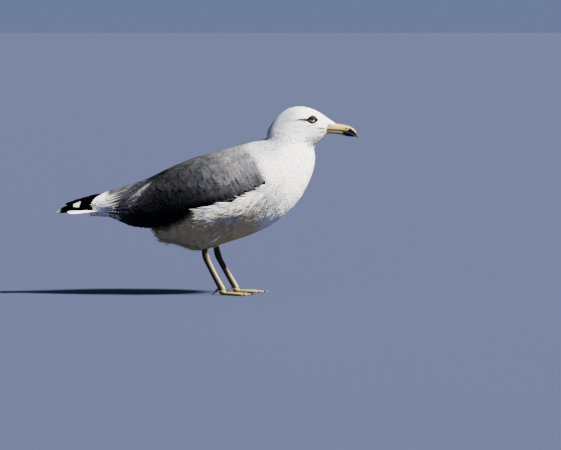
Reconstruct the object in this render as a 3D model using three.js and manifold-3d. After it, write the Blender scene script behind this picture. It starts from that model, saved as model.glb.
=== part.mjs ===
// A large grey-backed gull standing at rest, life size, as a museum shows one.
// The bill points to +X, the bird's left side to +Y, and the soles lie on Z = 0.
// Every length is in millimetres and every angle in degrees.

import * as THREE from 'three';
import { mergeVertices } from 'three/addons/utils/BufferGeometryUtils.js';
import Module from 'manifold-3d';

const wasm = await Module();
wasm.setup();

// ---------------------------------------------------------------- driving dimensions

const gap = 0.3; // left between pieces that touch
const weld = 1e-4; // vertices closer than this are one
const edgeThickness = 1.2; // of every sheet of feathers, along its rim

const legSpacing = 62; // between the two legs, across the body
const leftAdvance = { thigh: 20.5, foot: 24.5 }; // how far the left leg stands ahead of the right
const thighHeight = 88;
const footJoint = 29; // how far ahead of the origin the right foot's joint stands
const footTurn = 8; // each foot points this far outward
const webThickness = 1.3;
const clawLength = 8.5;

const eyeRadius = 6.6;
const eyeCentre = { x: 193.5, y: 18.1, z: 321.8 };

const wingThickness = 7;
const mantleThickness = 6;
const primaryThickness = 3.2;
const tailThickness = 3.6;

// The body from the tail coverts to the bill. Each rib is a slice: the point where it crosses
// the back, the point where it crosses the belly, half its width, and how high its widest line
// lies, from 0 at the belly to 1 at the back.
const bodyRibs = [
  { back: [-217, 160], belly: [-215, 145], half: 13, waist: 0.5 }, // tail coverts
  { back: [-175, 169], belly: [-178, 143.5], half: 25, waist: 0.5 }, // rump
  { back: [-133, 184], belly: [-101.5, 127.5], half: 36, waist: 0.55 }, // vent
  { back: [-90, 206], belly: [-86, 99.5], half: 48, waist: 0.55 }, // behind the thighs
  { back: [-49, 231], belly: [-57, 92.5], half: 57, waist: 0.52 }, // thighs
  { back: [-7, 252.5], belly: [-16.5, 80.3], half: 63, waist: 0.52 }, // belly
  { back: [36, 267], belly: [36, 95.5], half: 66, waist: 0.52 }, // middle of the back
  { back: [72, 277.5], belly: [87, 112], half: 67, waist: 0.52 }, // breast
  { back: [94, 283.5], belly: [135.5, 139], half: 65, waist: 0.5 }, // shoulders
  { back: [104, 286], belly: [172.5, 177.5], half: 58, waist: 0.5 }, // front of the breast
  { back: [109.5, 288.5], belly: [194.5, 222], half: 48, waist: 0.5 }, // root of the neck
  { back: [110.5, 293], belly: [200.5, 255], half: 39, waist: 0.5 }, // neck
  { back: [111.5, 300], belly: [196.5, 274.5], half: 34, waist: 0.48 }, // throat
  { back: [117, 311], belly: [202, 281], half: 30.5, waist: 0.46 }, // nape
  { back: [130, 328], belly: [211, 286], half: 27.5, waist: 0.45 }, // back of the jaw
  { back: [152, 344], belly: [217, 292], half: 25.5, waist: 0.45 }, // ear
  { back: [178, 346.8], belly: [221, 294.8], half: 22, waist: 0.46 }, // eye
  { back: [204, 338.6], belly: [224, 296], half: 15.2, waist: 0.44 }, // lore
  { back: [224, 325], belly: [226.2, 296.4], half: 11.4, waist: 0.64 }, // forehead's foot
  { back: [239.5, 315.4], belly: [228, 296.7], half: 9, waist: 0.7 }, // feather edge
];
const neckStart = 10; // the ribs at which the neck and the head begin
const headStart = 13;
const plumpness = 0.9; // below 1, the slices are fuller than an ellipse

// The upper mandible's slices run from the ridge to the cutting edge, which is its widest line.
const upperBillRibs = [
  { back: [226, 320], belly: [213, 306.9], half: 13.4, waist: 0 }, // root, bare only at the gape
  { back: [237, 316], belly: [225, 304.2], half: 10.6, waist: 0 },
  { back: [247.6, 314.3], belly: [244.5, 302.6], half: 6.9, waist: 0 },
  { back: [258, 312.2], belly: [255.6, 300.9], half: 5.5, waist: 0 },
  { back: [267, 308.9], belly: [262.5, 298.9], half: 4.8, waist: 0 },
  { back: [273.8, 303], belly: [268.5, 296.4], half: 3.9, waist: 0 },
  { back: [278.2, 296], belly: [273.5, 293.4], half: 2.6, waist: 0 },
  { back: [279.4, 289.6], belly: [277.4, 289.2], half: 0.8, waist: 0 }, // hooked tip
];

// The lower mandible's slices run from its cutting edge down to the keel.
const lowerBillRibs = [
  { back: [213, 306.3], belly: [216, 296], half: 13.1, waist: 1 }, // root, bare only at the gape
  { back: [225, 303.6], belly: [226, 296.4], half: 10.3, waist: 1 },
  { back: [244.5, 302], belly: [247.6, 295], half: 6.2, waist: 1 },
  { back: [255.6, 300.3], belly: [258, 291.6], half: 4.7, waist: 1 }, // corner of the keel
  { back: [262.5, 298.3], belly: [266, 290.7], half: 4, waist: 1 },
  { back: [268.5, 295.8], belly: [272, 290.9], half: 2.8, waist: 1 },
  { back: [273, 292.9], belly: [275.4, 291.2], half: 1.1, waist: 1 }, // tip
];

// The left wing, folded: its outer face bows from the top edge through the middle to the low edge.
const foldedWing = {
  top: [[78, 15, 275], [35, 19, 264.5], [-13, 19, 252.5], [-68, 15, 231.5], [-111, 9, 211.5],
    [-146, 5, 202], [-184, 3.4, 188.5]],
  middle: [[99, 48, 248], [60, 57, 236], [20, 60.5, 224], [-25, 59, 208], [-68, 52.5, 189],
    [-110, 43, 174], [-150, 32, 169], [-190, 20, 168.5], [-219, 11.5, 166]],
  low: [[118, 57, 215], [100, 62, 199.8], [61, 69, 177.6], [20, 71, 169], [-22, 67, 157.5],
    [-42, 62, 142], [-61, 56.5, 131.4], [-90, 48, 125.5], [-120, 39, 124.5], [-146, 31.5, 130],
    [-163, 27, 147]],
};

// The left wing's long black feathers, stacked edge to edge, that reach past the tail.
const foldedPrimaries = {
  top: [[-168, 6, 184], [-184, 5, 187.6], [-205, 4.6, 185.8], [-231, 4.4, 180], [-262, 4.8, 171]],
  middle: [[-168, 18, 173], [-200, 14.5, 173], [-232, 12, 169], [-256, 9.5, 164], [-271, 7, 158]],
  low: [[-168, 23, 163], [-200, 19.5, 161], [-232, 16, 158], [-258, 11.5, 155], [-279.4, 6.5, 151]],
};

// The grey saddle between the wings, from one edge over the ridge to the other.
const mantle = {
  top: [[77, 14.3, 276], [35, 18.3, 265.2], [-13, 18.3, 253.2], [-68, 14.3, 232], [-111, 8.3, 211.7],
    [-142, 4.6, 202]],
  middle: [[76, 0, 278.3], [35, 0, 267.7], [-13, 0, 255.7], [-68, 0, 233.7], [-111, 0, 212.5],
    [-142, 0, 202.5]],
};
mantle.low = mantle.top.map(([x, y, z]) => [x, -y, z]);

// The closed tail: left edge, middle, right edge.
const tail = {
  top: [[-176, 17, 157.5], [-215, 25, 153.5], [-254, 33, 149.8]],
  middle: [[-176, 0, 161], [-215, 0, 157.2], [-259.7, 0, 153]],
};
tail.low = tail.top.map(([x, y, z]) => [x, -y, z]);

// Stations along a limb in its own upright plane: x, z, depth front to back, width.
const thigh = [[-16, 124, 46, 28], [-10, 106, 30, 24], [-6.5, 94, 19, 16], [-4.2, 85, 14.6, 12]];
const shank = [[-4, 88, 11.4, 9], [-3.4, 80, 11.8, 9], [-1.9, 73, 13.4, 10.4], [-0.2, 66.5, 12.8, 9.8],
  [3.1, 59, 11.4, 7.8], [12.6, 39.8, 11.2, 6.8], [22.9, 20.3, 11.8, 7.2], [27, 13, 12.6, 8.6],
  [29.7, 8.5, 11.4, 9]];
const hindToe = [[-3, 13, 6, 5], [-9, 9.4, 4.6, 4.2], [-14.6, 4.6, 3.6, 3.4]];
const hindClaw = [[-14.9, 4.3, 3, 2.8], [-17.4, 2, 2.2, 2], [-18.6, -0.4, 1.2, 1.2]];
const knuckle = [[-5.5, 6.5, 7, 7], [-1, 6, 12, 11], [5, 4, 9, 12]];

// The front toes of the left foot: length without the claw, and the turn from straight ahead.
const toes = {
  inner: { length: 42, turn: -29 },
  middle: { length: 52, turn: 0 },
  outer: { length: 49, turn: 31 },
};
const toeDepth = 6; // at its thickest, tapering to the claw
const toeWidth = 5.6;
const webHollow = 0.8; // how far out the web's edge reaches, as a share of the toes

// Colours, roughness: metalness is 0 throughout.
const finishes = {
  white: [0xf3f2ee, 0.9],
  grey: [0x84878d, 0.85],
  black: [0x18181b, 0.6],
  bill: [0xe0cb74, 0.35],
  leg: [0xd8c88a, 0.5],
  claw: [0x2b2622, 0.45],
  eye: [0xe6dc9a, 0.1],
};

// ---------------------------------------------------------------- shaping

// Moves every vertex of a primitive and returns one closed mesh whose faces point outward.
function warp(geometry, place) {
  const position = geometry.attributes.position;
  const point = new THREE.Vector3();
  for (let i = 0; i < position.count; i += 1) {
    const moved = place(point.fromBufferAttribute(position, i));
    position.setXYZ(i, moved.x, moved.y, moved.z);
  }
  geometry.deleteAttribute('normal');
  geometry.deleteAttribute('uv');
  return facingOut(mergeVertices(geometry, weld));
}

function facingOut(geometry) {
  const { index, attributes: { position } } = geometry;
  const [a, b, c] = [new THREE.Vector3(), new THREE.Vector3(), new THREE.Vector3()];
  let volume = 0;
  for (let i = 0; i < index.count; i += 3) {
    a.fromBufferAttribute(position, index.getX(i));
    b.fromBufferAttribute(position, index.getX(i + 1));
    c.fromBufferAttribute(position, index.getX(i + 2));
    volume += a.dot(b.cross(c));
  }
  if (volume < 0) {
    index.array.reverse();
  }
  return geometry;
}

function smoothThrough(points) {
  const vectors = points.map((point) => new THREE.Vector3(...point));
  return new THREE.CatmullRomCurve3(vectors, false, 'centripetal');
}

const fuller = (value) => Math.sign(value) * Math.abs(value) ** plumpness;

// A body lofted through ribs `from` to `to`. The first slice of a piece that follows another
// stands `gap` ahead of its rib, and `grow` swells the whole piece.
function loft(ribs, { from = 0, to = ribs.length - 1, rings, sides, grow = 0 }) {
  const backs = smoothThrough(ribs.map(({ back: [x, z] }) => [x, 0, z]));
  const bellies = smoothThrough(ribs.map(({ belly: [x, z] }) => [x, 0, z]));
  const girths = smoothThrough(ribs.map(({ half, waist }) => [half, 0, waist]));
  const last = ribs.length - 1;
  return warp(new THREE.CylinderGeometry(1, 1, 1, sides, rings), ({ x, y, z }) => {
    const along = THREE.MathUtils.lerp(from, to, y + 0.5) / last;
    const back = backs.getPoint(along);
    const belly = bellies.getPoint(along);
    const { x: half, z: waist } = girths.getPoint(along);
    const upward = back.clone().sub(belly).normalize();
    const forward = new THREE.Vector3(upward.z, 0, -upward.x);
    back.addScaledVector(upward, grow);
    belly.addScaledVector(upward, -grow);
    const widest = belly.clone().lerp(back, waist);
    const reach = z > 0 ? back.distanceTo(widest) : belly.distanceTo(widest);
    const step = from > 0 && y === -0.5 ? gap : 0;
    const point = widest.addScaledVector(upward, fuller(z) * reach);
    return point.addScaledVector(forward, step).setY(fuller(x) * (half + grow));
  });
}

// A sheet of feathers whose outer face bows from its top edge through its middle to its low edge.
// It is `thickness` deep in the middle and thin along its rim.
function sheet({ top, middle, low }, { thickness, along, around, grow = 0 }) {
  const [topEdge, middleLine, lowEdge] = [top, middle, low].map(smoothThrough);
  const face = (u, v) => {
    const start = topEdge.getPointAt(u);
    const end = lowEdge.getPointAt(u);
    const bow = middleLine.getPointAt(u).multiplyScalar(2);
    bow.addScaledVector(start, -0.5).addScaledVector(end, -0.5);
    return new THREE.QuadraticBezierCurve3(start, bow, end).getPoint(v);
  };
  const nudge = 0.01;
  const slope = (ahead, behind) => ahead.sub(behind).normalize();
  return warp(new THREE.BoxGeometry(1, 1, 1, along, around, 1), ({ x, y, z }) => {
    const u = x + 0.5;
    const v = y + 0.5;
    const lengthwise = slope(face(Math.min(1, u + nudge), v), face(Math.max(0, u - nudge), v));
    const crosswise = slope(face(u, v + nudge), face(u, v - nudge));
    const inward = crosswise.clone().cross(lengthwise).normalize();
    const fullness = Math.sqrt(Math.max(0, Math.sin(Math.PI * u) * Math.sin(Math.PI * v)));
    const depth = THREE.MathUtils.lerp(edgeThickness, thickness, fullness);
    const point = face(u, v).addScaledVector(inward, z > 0 ? -grow : depth + grow);
    point.addScaledVector(lengthwise, grow * atEnds(u));
    return point.addScaledVector(crosswise, grow * atEnds(v));
  });
}

// -1 at the start of a span, 1 at its end and 0 between.
function atEnds(share) {
  if (share < weld) {
    return -1;
  }
  return share > 1 - weld ? 1 : 0;
}

// A tapering limb through stations of x, z, depth and width, in the plane Y = 0.
function limb(stations, { steps, sides, grow = 0 }) {
  const centres = smoothThrough(stations.map(([x, z]) => [x, 0, z]));
  const girths = smoothThrough(stations.map(([, , depth, width]) => [depth, width, 0]));
  return warp(new THREE.CylinderGeometry(1, 1, 1, sides, steps), ({ x, y, z }) => {
    const { x: depth, y: width } = girths.getPoint(y + 0.5);
    const tangent = centres.getTangent(y + 0.5);
    const depthwise = new THREE.Vector3(-tangent.z, 0, tangent.x);
    const point = centres.getPoint(y + 0.5).addScaledVector(depthwise, z * (depth / 2 + grow));
    point.addScaledVector(tangent, 2 * grow * y);
    return point.setY(x * (width / 2 + grow));
  });
}

const mirrored = (geometry) => warp(geometry.clone(), (point) => point.setY(-point.y));

// ---------------------------------------------------------------- cuts and joins

function toSolid(geometry) {
  const vertProperties = new Float32Array(geometry.attributes.position.array);
  const triVerts = new Uint32Array(geometry.index.array);
  return new wasm.Manifold(new wasm.Mesh({ numProp: 3, vertProperties, triVerts }));
}

function toGeometry(solid) {
  const { vertProperties, triVerts } = solid.getMesh();
  const geometry = new THREE.BufferGeometry();
  geometry.setAttribute('position', new THREE.Float32BufferAttribute(vertProperties, 3));
  geometry.setIndex([...triVerts]);
  return geometry;
}

// What is left of a piece once its neighbours are cut away: the largest part, without crumbs.
function cut(geometry, ...cutters) {
  const rest = cutters.reduce((solid, cutter) => solid.subtract(toSolid(cutter)), toSolid(geometry));
  const [largest] = rest.decompose().sort((a, b) => b.volume() - a.volume());
  return toGeometry(largest);
}

function join(first, ...others) {
  return toGeometry(others.reduce((whole, other) => whole.add(toSolid(other)), toSolid(first)));
}

function floorBlock() {
  const depth = 20;
  const block = new THREE.BoxGeometry(400, 400, depth);
  return warp(block, (point) => point.setZ(point.z - depth / 2));
}

// ---------------------------------------------------------------- pieces

const bird = new THREE.Group();

function add(name, finish, geometry) {
  const [color, roughness] = finishes[finish];
  const material = new THREE.MeshStandardMaterial({ color, roughness, metalness: 0 });
  const mesh = new THREE.Mesh(geometry, material);
  mesh.name = name;
  bird.add(mesh);
}

// Adds a piece made for the left side, and its mirror image on the right.
function addPair(name, finish, geometry) {
  add(`${name}_left`, finish, geometry);
  add(`${name}_right`, finish, mirrored(geometry));
}

function eyeball(grow = 0) {
  const ball = new THREE.SphereGeometry(eyeRadius + grow, 14, 10);
  return warp(ball, (point) => point.add(eyeCentre));
}

function addHeadAndNeck() {
  const upperBill = (grow) => loft(upperBillRibs, { rings: 11, sides: 12, grow });
  const lowerBill = (grow) => loft(lowerBillRibs, { rings: 9, sides: 10, grow });
  const head = loft(bodyRibs, { from: headStart, rings: 12, sides: 24 });
  add('neck', 'white', loft(bodyRibs, { from: neckStart, to: headStart, rings: 6, sides: 24 }));
  add('head', 'white', cut(head, upperBill(gap), lowerBill(gap), eyeball(gap), mirrored(eyeball(gap))));
  add('bill_upper', 'bill', upperBill(0));
  add('bill_lower', 'bill', lowerBill(0));
  addPair('eye', 'eye', eyeball());
}

const wingShape = { thickness: wingThickness, along: 19, around: 7 };
const tailShape = { thickness: tailThickness, along: 5, around: 8 };
const trunkShape = { to: neckStart, rings: 21, sides: 24 };

function addTrunkAndWings() {
  const grownWing = sheet(foldedWing, { ...wingShape, grow: gap });
  const grownTail = sheet(tail, { ...tailShape, grow: gap });
  const saddle = { thickness: mantleThickness, along: 10, around: 4 };
  const wings = [grownWing, mirrored(grownWing)];
  const trunk = loft(bodyRibs, trunkShape);
  add('trunk', 'white', cut(trunk, ...wings, sheet(mantle, { ...saddle, grow: gap }), grownTail));
  add('mantle', 'grey', cut(sheet(mantle, saddle), ...wings));
  addPair('wing', 'grey', cut(sheet(foldedWing, wingShape), grownTail));
  const primaries = sheet(foldedPrimaries, { thickness: primaryThickness, along: 9, around: 5 });
  const grownTrunk = loft(bodyRibs, { ...trunkShape, grow: gap });
  addPair('primaries', 'black', cut(primaries, grownWing, grownTail, grownTrunk));
  add('tail', 'white', sheet(tail, tailShape));
}

// A front toe along +X from the foot's joint, then turned to its place.
function toe({ length, turn }) {
  const stations = [0, 0.25, 0.6, 0.92, 1].map((share) => {
    const taper = 1.15 - 0.4 * share - (share === 1 ? 0.25 : 0);
    return [length * share, 0.4 * toeDepth * taper, toeDepth * taper, toeWidth * taper];
  });
  return limb(stations, { steps: 6, sides: 8 }).rotateZ(THREE.MathUtils.degToRad(turn));
}

function claw({ length, turn }) {
  const start = length + 2 * gap;
  const stations = [[start, 1.7, 3, 2.8], [start + 0.5 * clawLength, 2.3, 2.3, 1.9],
    [start + clawLength, 0.9, 0.6, 0.6]];
  return limb(stations, { steps: 4, sides: 6 }).rotateZ(THREE.MathUtils.degToRad(turn));
}

function toeTip({ length, turn }, share = 1) {
  const angle = THREE.MathUtils.degToRad(turn);
  return new THREE.Vector2(Math.cos(angle), Math.sin(angle)).multiplyScalar(length * share);
}

// The skin between the toes: its free edges are hollow curves from tip to tip.
function web() {
  const tips = [toes.inner, toes.middle, toes.outer];
  const outline = new THREE.Shape();
  const [first, ...rest] = tips.map((tip) => toeTip(tip, 0.95));
  outline.moveTo(0, 0);
  outline.lineTo(first.x, first.y);
  let before = first;
  for (const tip of rest) {
    const hollow = before.clone().add(tip).multiplyScalar(webHollow / 2);
    outline.quadraticCurveTo(hollow.x, hollow.y, tip.x, tip.y);
    before = tip;
  }
  outline.closePath();
  const settings = { depth: webThickness, bevelEnabled: false, curveSegments: 7 };
  return warp(new THREE.ExtrudeGeometry(outline, settings), (point) => point);
}

const knuckleShape = { steps: 5, sides: 10 };

// The left foot, with its joint over the origin.
function foot() {
  const pieces = [...Object.values(toes).map(toe), web()];
  return cut(join(limb(knuckle, knuckleShape), ...pieces), floorBlock());
}

// A leg's own pieces lean with it; the foot's pieces turn outward and move with the foot.
function addLeg(side, advance, name) {
  const toItsSide = (geometry) => {
    const turned = side > 0 ? geometry : mirrored(geometry);
    return turned.translate(0, (side * legSpacing) / 2, 0);
  };
  const lean = (point) => {
    const ahead = THREE.MathUtils.lerp(advance.foot, advance.thigh, point.z / thighHeight);
    return point.setX(point.x + ahead);
  };
  const onLeg = (stations, shape) => warp(toItsSide(limb(stations, shape)), lean);
  const onFoot = (geometry) => {
    const turned = geometry.rotateZ(THREE.MathUtils.degToRad(footTurn));
    return toItsSide(turned).translate(footJoint + advance.foot, 0, 0);
  };
  const thighShape = { steps: 5, sides: 12 };
  const shankShape = { steps: 14, sides: 8 };
  const grownTrunk = loft(bodyRibs, { ...trunkShape, grow: gap });
  const grownThigh = onLeg(thigh, { ...thighShape, grow: gap });
  const grownShank = onLeg(shank, { ...shankShape, grow: gap });
  const grownFoot = onFoot(limb(knuckle, { ...knuckleShape, grow: gap }));
  const backToe = onFoot(limb(hindToe, { steps: 3, sides: 8 }));
  const backClaw = onFoot(limb(hindClaw, { steps: 3, sides: 6 }));
  add(`thigh_${name}`, 'white', cut(onLeg(thigh, thighShape), grownTrunk));
  add(`leg_${name}`, 'leg', cut(onLeg(shank, shankShape), grownThigh, grownFoot));
  add(`foot_${name}`, 'leg', onFoot(foot()));
  add(`hind_toe_${name}`, 'leg', cut(backToe, grownShank, grownFoot));
  add(`claw_hind_${name}`, 'claw', cut(backClaw, floorBlock()));
  for (const [which, size] of Object.entries(toes)) {
    add(`claw_${which}_${name}`, 'claw', onFoot(claw(size)));
  }
}

addHeadAndNeck();
addTrunkAndWings();
addLeg(1, leftAdvance, 'left');
addLeg(-1, { thigh: 0, foot: 0 }, 'right');

export default bird;
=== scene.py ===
# %% [markdown]
# # A large gull at rest
# The gull stands on its two webbed feet with both wings folded. Its solids come in from the frame, so
# every place and size below is measured on them. The soft outside of a bird is not one surface: it is a
# skin with thousands of overlapping feathers, so this lesson lays those feathers one by one.

# %% Load the frame
import math

import bpy
import numpy as np
from mathutils.bvhtree import BVHTree
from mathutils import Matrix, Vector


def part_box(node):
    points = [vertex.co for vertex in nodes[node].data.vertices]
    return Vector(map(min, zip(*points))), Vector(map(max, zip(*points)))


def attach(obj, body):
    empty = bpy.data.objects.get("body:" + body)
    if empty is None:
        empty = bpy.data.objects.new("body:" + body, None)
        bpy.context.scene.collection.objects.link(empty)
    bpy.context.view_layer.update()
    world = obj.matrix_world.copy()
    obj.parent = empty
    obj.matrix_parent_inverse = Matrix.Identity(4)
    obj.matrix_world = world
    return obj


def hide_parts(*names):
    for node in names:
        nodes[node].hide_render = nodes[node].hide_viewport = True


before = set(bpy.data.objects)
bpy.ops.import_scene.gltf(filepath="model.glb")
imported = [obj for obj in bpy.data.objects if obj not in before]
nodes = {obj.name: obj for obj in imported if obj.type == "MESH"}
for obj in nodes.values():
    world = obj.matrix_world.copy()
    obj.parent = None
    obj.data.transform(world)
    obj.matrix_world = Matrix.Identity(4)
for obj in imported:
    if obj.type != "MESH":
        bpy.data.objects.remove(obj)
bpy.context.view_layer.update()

dice = np.random.default_rng(7)
MM = 0.001
SIDES = ((1, "left"), (-1, "right"))

# %% [markdown]
# ## The camera
# A bird is looked at from far off, and from there its near and far sides are the same size. A camera close
# by would swell the head. So this one stands seven metres away with a long lens, almost level with the
# bird.

# %% Camera
CAMERA_DISTANCE = 7.0
CAMERA_ELEVATION = math.radians(3.0)
VIEW_WIDTH = 1.0379
VIEW_CENTRE = (0.13625, 0.0, 0.12765)
SENSOR = 36.0

camera_data = bpy.data.cameras.new("camera")
camera_data.sensor_width = SENSOR
camera_data.lens = SENSOR * CAMERA_DISTANCE / VIEW_WIDTH
camera_data.clip_end = 700.0
camera = bpy.data.objects.new("camera", camera_data)
camera.location = (
    VIEW_CENTRE[0],
    VIEW_CENTRE[1] - CAMERA_DISTANCE * math.cos(CAMERA_ELEVATION),
    VIEW_CENTRE[2] + CAMERA_DISTANCE * math.sin(CAMERA_ELEVATION),
)
camera.rotation_euler = (math.pi / 2 - CAMERA_ELEVATION, 0.0, 0.0)
bpy.context.collection.objects.link(camera)
bpy.context.scene.camera = camera
print("lens in mm:", round(camera_data.lens, 1))

# %% [markdown]
# ## Floor and sky
# A gull is mostly white and grey, and white only reads against something darker. The ground could be a
# modelled place, but a plain floor and a plain sky let the bird stand alone. The sky is as dark as the
# floor near its edge and lighter above, and its light fills the shadows of the plumage.


# %% Floor
def principled(name, **sockets):
    """A new material with these values set on its Principled shader, and that shader."""
    material = bpy.data.materials.new(name)
    material.use_nodes = True
    shader = material.node_tree.nodes["Principled BSDF"]
    for socket, value in sockets.items():
        shader.inputs[socket.replace("_", " ")].default_value = value
    return material, shader


def deselect():
    """Leaves nothing selected, so that the next operator acts on its own piece alone."""
    if bpy.context.object and bpy.context.object.mode != "OBJECT":
        bpy.ops.object.mode_set(mode="OBJECT")
    bpy.ops.object.select_all(action="DESELECT")


FLOOR_COLOUR = (0.0225, 0.0285, 0.060, 1)

deselect()
bpy.ops.mesh.primitive_plane_add(size=600.0, location=(0, 0, 0))
floor = bpy.context.object
floor.name = "floor"
floor.data.materials.append(
    principled("floor_paint", Base_Color=FLOOR_COLOUR, Roughness=0.9, Specular_IOR_Level=0.1)[0]
)
print("stage:", floor.name)


# %% Sky
def add_node(tree, kind, **values):
    """A new shader node of this kind, with these values set on its inputs."""
    node = tree.nodes.new("ShaderNode" + kind)
    for socket, value in values.items():
        node.inputs[socket.replace("_", " ")].default_value = value
    return node


def wire(tree, *pairs):
    """Links each output to its input."""
    for output, target in pairs:
        tree.links.new(output, target)


def add_ramp(tree, *stops):
    """A colour ramp through two stops, each a position and a colour."""
    ramp = add_node(tree, "ValToRGB")
    for index, (position, colour) in enumerate(stops):
        ramp.color_ramp.elements[index].position = position
        ramp.color_ramp.elements[index].color = colour
    return ramp


HORIZON_COLOUR = (0.155, 0.195, 0.37, 1)
SKY_COLOUR = (0.20, 0.235, 0.34, 1)

world = bpy.data.worlds.new("soft_sky")
world.use_nodes = True
sky = world.node_tree
direction = add_node(sky, "TexCoord")
height = add_node(sky, "SeparateXYZ")
ramp = add_ramp(sky, (0.08, HORIZON_COLOUR), (0.5, SKY_COLOUR))
wire(
    sky,
    (direction.outputs["Generated"], height.inputs[0]),
    (height.outputs["Z"], ramp.inputs["Fac"]),
    (ramp.outputs["Color"], sky.nodes["Background"].inputs["Color"]),
)
bpy.context.scene.world = world
print("nodes of the sky:", len(sky.nodes))

# %% [markdown]
# ## The lamp
# One far soft lamp shines from ahead of the bill and above, so that the face and breast are bright and the
# nape, the belly and the rear of the wing fall into soft shade. A ring of small lamps would light the bird
# more evenly, but it would flatten the plumage.

# %% Lamp
SUN_HEADING = (0.68, -0.22, 0.70)
SUN_STRENGTH = 30.0
SUN_WIDTH = math.radians(10)
SUN_COLOUR = (1.0, 0.965, 0.90)

sun_data = bpy.data.lights.new("key", "SUN")
sun_data.energy = SUN_STRENGTH
sun_data.angle = SUN_WIDTH
sun_data.color = SUN_COLOUR
sun = bpy.data.objects.new("key", sun_data)
sun.rotation_euler = (
    math.atan2(math.hypot(SUN_HEADING[0], SUN_HEADING[1]), SUN_HEADING[2]),
    0.0,
    math.atan2(SUN_HEADING[0], -SUN_HEADING[1]),
)
bpy.context.collection.objects.link(sun)
print("lamp strength:", sun_data.energy)

# %% [markdown]
# ## The form under the plumage
# The feathers need one closed surface to lie on. It could be sculpted afresh, but then it would drift from
# the solids. So copies of the fleshy solids are grown by a hair until they touch, joined, and remeshed
# into a single smooth form. Nearly every feather is laid on this form, and the skin is the same form sunk
# by the depth of the coat.


# %% Copies of the solids
def select_only(piece):
    """Makes one piece the only selected and the active one."""
    deselect()
    piece.select_set(True)
    bpy.context.view_layer.objects.active = piece


def merged_copy(node, name):
    """A free copy of a CAD node, with the doubled points of its loose triangles merged."""
    piece = bpy.data.objects.new(name, nodes[node].data.copy())
    piece.data.materials.clear()
    bpy.context.collection.objects.link(piece)
    select_only(piece)
    bpy.ops.mesh.customdata_custom_splitnormals_clear()
    bpy.ops.object.mode_set(mode="EDIT")
    bpy.ops.mesh.select_all(action="SELECT")
    bpy.ops.mesh.remove_doubles(threshold=0.01 * MM)
    bpy.ops.object.mode_set(mode="OBJECT")
    return piece


FLESH = [
    "head", "neck", "trunk", "mantle", "wing_left", "wing_right", "thigh_left", "thigh_right",
]

copies = [merged_copy(node, "copy_of_" + node) for node in FLESH]
print("points in the copies:", [len(piece.data.vertices) for piece in copies])


# %% One smooth form
GROWTH = 0.4 * MM
VOXEL = 2.0 * MM


def apply_modifier(piece, kind, **values):
    """Adds one modifier, sets its values and applies it."""
    select_only(piece)
    modifier = piece.modifiers.new(kind.title(), kind)
    for key, value in values.items():
        setattr(modifier, key, value)
    bpy.ops.object.modifier_apply(modifier=modifier.name)


select_only(copies[0])
for piece in copies:
    piece.select_set(True)
bpy.ops.object.join()
form = bpy.context.object
form.name = "form"
apply_modifier(form, "DISPLACE", strength=GROWTH, mid_level=0.0)
apply_modifier(form, "REMESH", mode="VOXEL", voxel_size=VOXEL)
apply_modifier(form, "SMOOTH", factor=0.5, iterations=5)
apply_modifier(form, "TRIANGULATE")
print("form triangles:", len(form.data.polygons))


# %% The form as arrays
def points_of(piece):
    """The points of a piece's mesh as an array, one row for each."""
    flat = np.empty(len(piece.data.vertices) * 3, np.float32)
    piece.data.vertices.foreach_get("co", flat)
    return flat.reshape(-1, 3).astype(float)


def normals_of(piece):
    """The smooth normal at each point of a piece's mesh."""
    flat = np.empty(len(piece.data.vertices) * 3, np.float32)
    piece.data.vertex_normals.foreach_get("vector", flat)
    return flat.reshape(-1, 3).astype(float)


def corners_of(piece):
    """The number of the point at each face corner of a piece's mesh."""
    corners = np.empty(len(piece.data.loops), np.int32)
    piece.data.loops.foreach_get("vertex_index", corners)
    return corners


form_normals = normals_of(form)
form_points = points_of(form) - form_normals * GROWTH
form_faces = corners_of(form).reshape(-1, 3)
print("form points:", len(form_points))


# %% Finding places on the form
def unit(vectors):
    """Vectors of length one."""
    return vectors / np.maximum(np.linalg.norm(vectors, axis=-1, keepdims=True), 1e-12)


form_tree = BVHTree.FromPolygons(form_points.tolist(), form_faces.tolist(), all_triangles=True)


def settle(points):
    """The nearest places on the form, and the smooth normals there."""
    flat = points.reshape(-1, 3)
    places = np.empty_like(flat)
    faces = np.empty(len(flat), int)
    for i, point in enumerate(flat.tolist()):
        place, _, face, _ = form_tree.find_nearest(point)
        places[i] = place
        faces[i] = face
    return places.reshape(points.shape), normals_at(places, faces).reshape(points.shape)


def normals_at(places, faces):
    """Normals between the corners of the triangle that each place lies in."""
    a, b, c = (form_points[form_faces[faces, k]] for k in range(3))
    whole = np.linalg.norm(np.cross(b - a, c - a), axis=1)[:, None]
    at_a = np.linalg.norm(np.cross(b - places, c - places), axis=1)[:, None] / whole
    at_b = np.linalg.norm(np.cross(c - places, a - places), axis=1)[:, None] / whole
    at_c = 1.0 - at_a - at_b
    na, nb, nc = (form_normals[form_faces[faces, k]] for k in range(3))
    return unit(na * at_a + nb * at_b + nc * at_c)


print("nearest place to the bird's middle:", settle(np.zeros((1, 3)))[0].round(3))


# %% Which part each place belongs to
def nearest_part(points):
    """The number in FLESH of the CAD node nearest to each point."""
    distances = []
    for node in FLESH:
        corners = points_of(nodes[node])
        tree = BVHTree.FromPolygons(
            corners.tolist(), [list(p.vertices) for p in nodes[node].data.polygons]
        )
        distances.append([tree.find_nearest(p)[3] for p in points.tolist()])
    return np.argmin(np.array(distances), axis=0)


form_middles = form_points[form_faces].mean(axis=1)
form_part = nearest_part(form_middles)
HEAD, NECK, TRUNK, MANTLE, WING_LEFT, WING_RIGHT, THIGH_LEFT, THIGH_RIGHT = range(len(FLESH))
print("triangles by part:", np.bincount(form_part).tolist())

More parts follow.
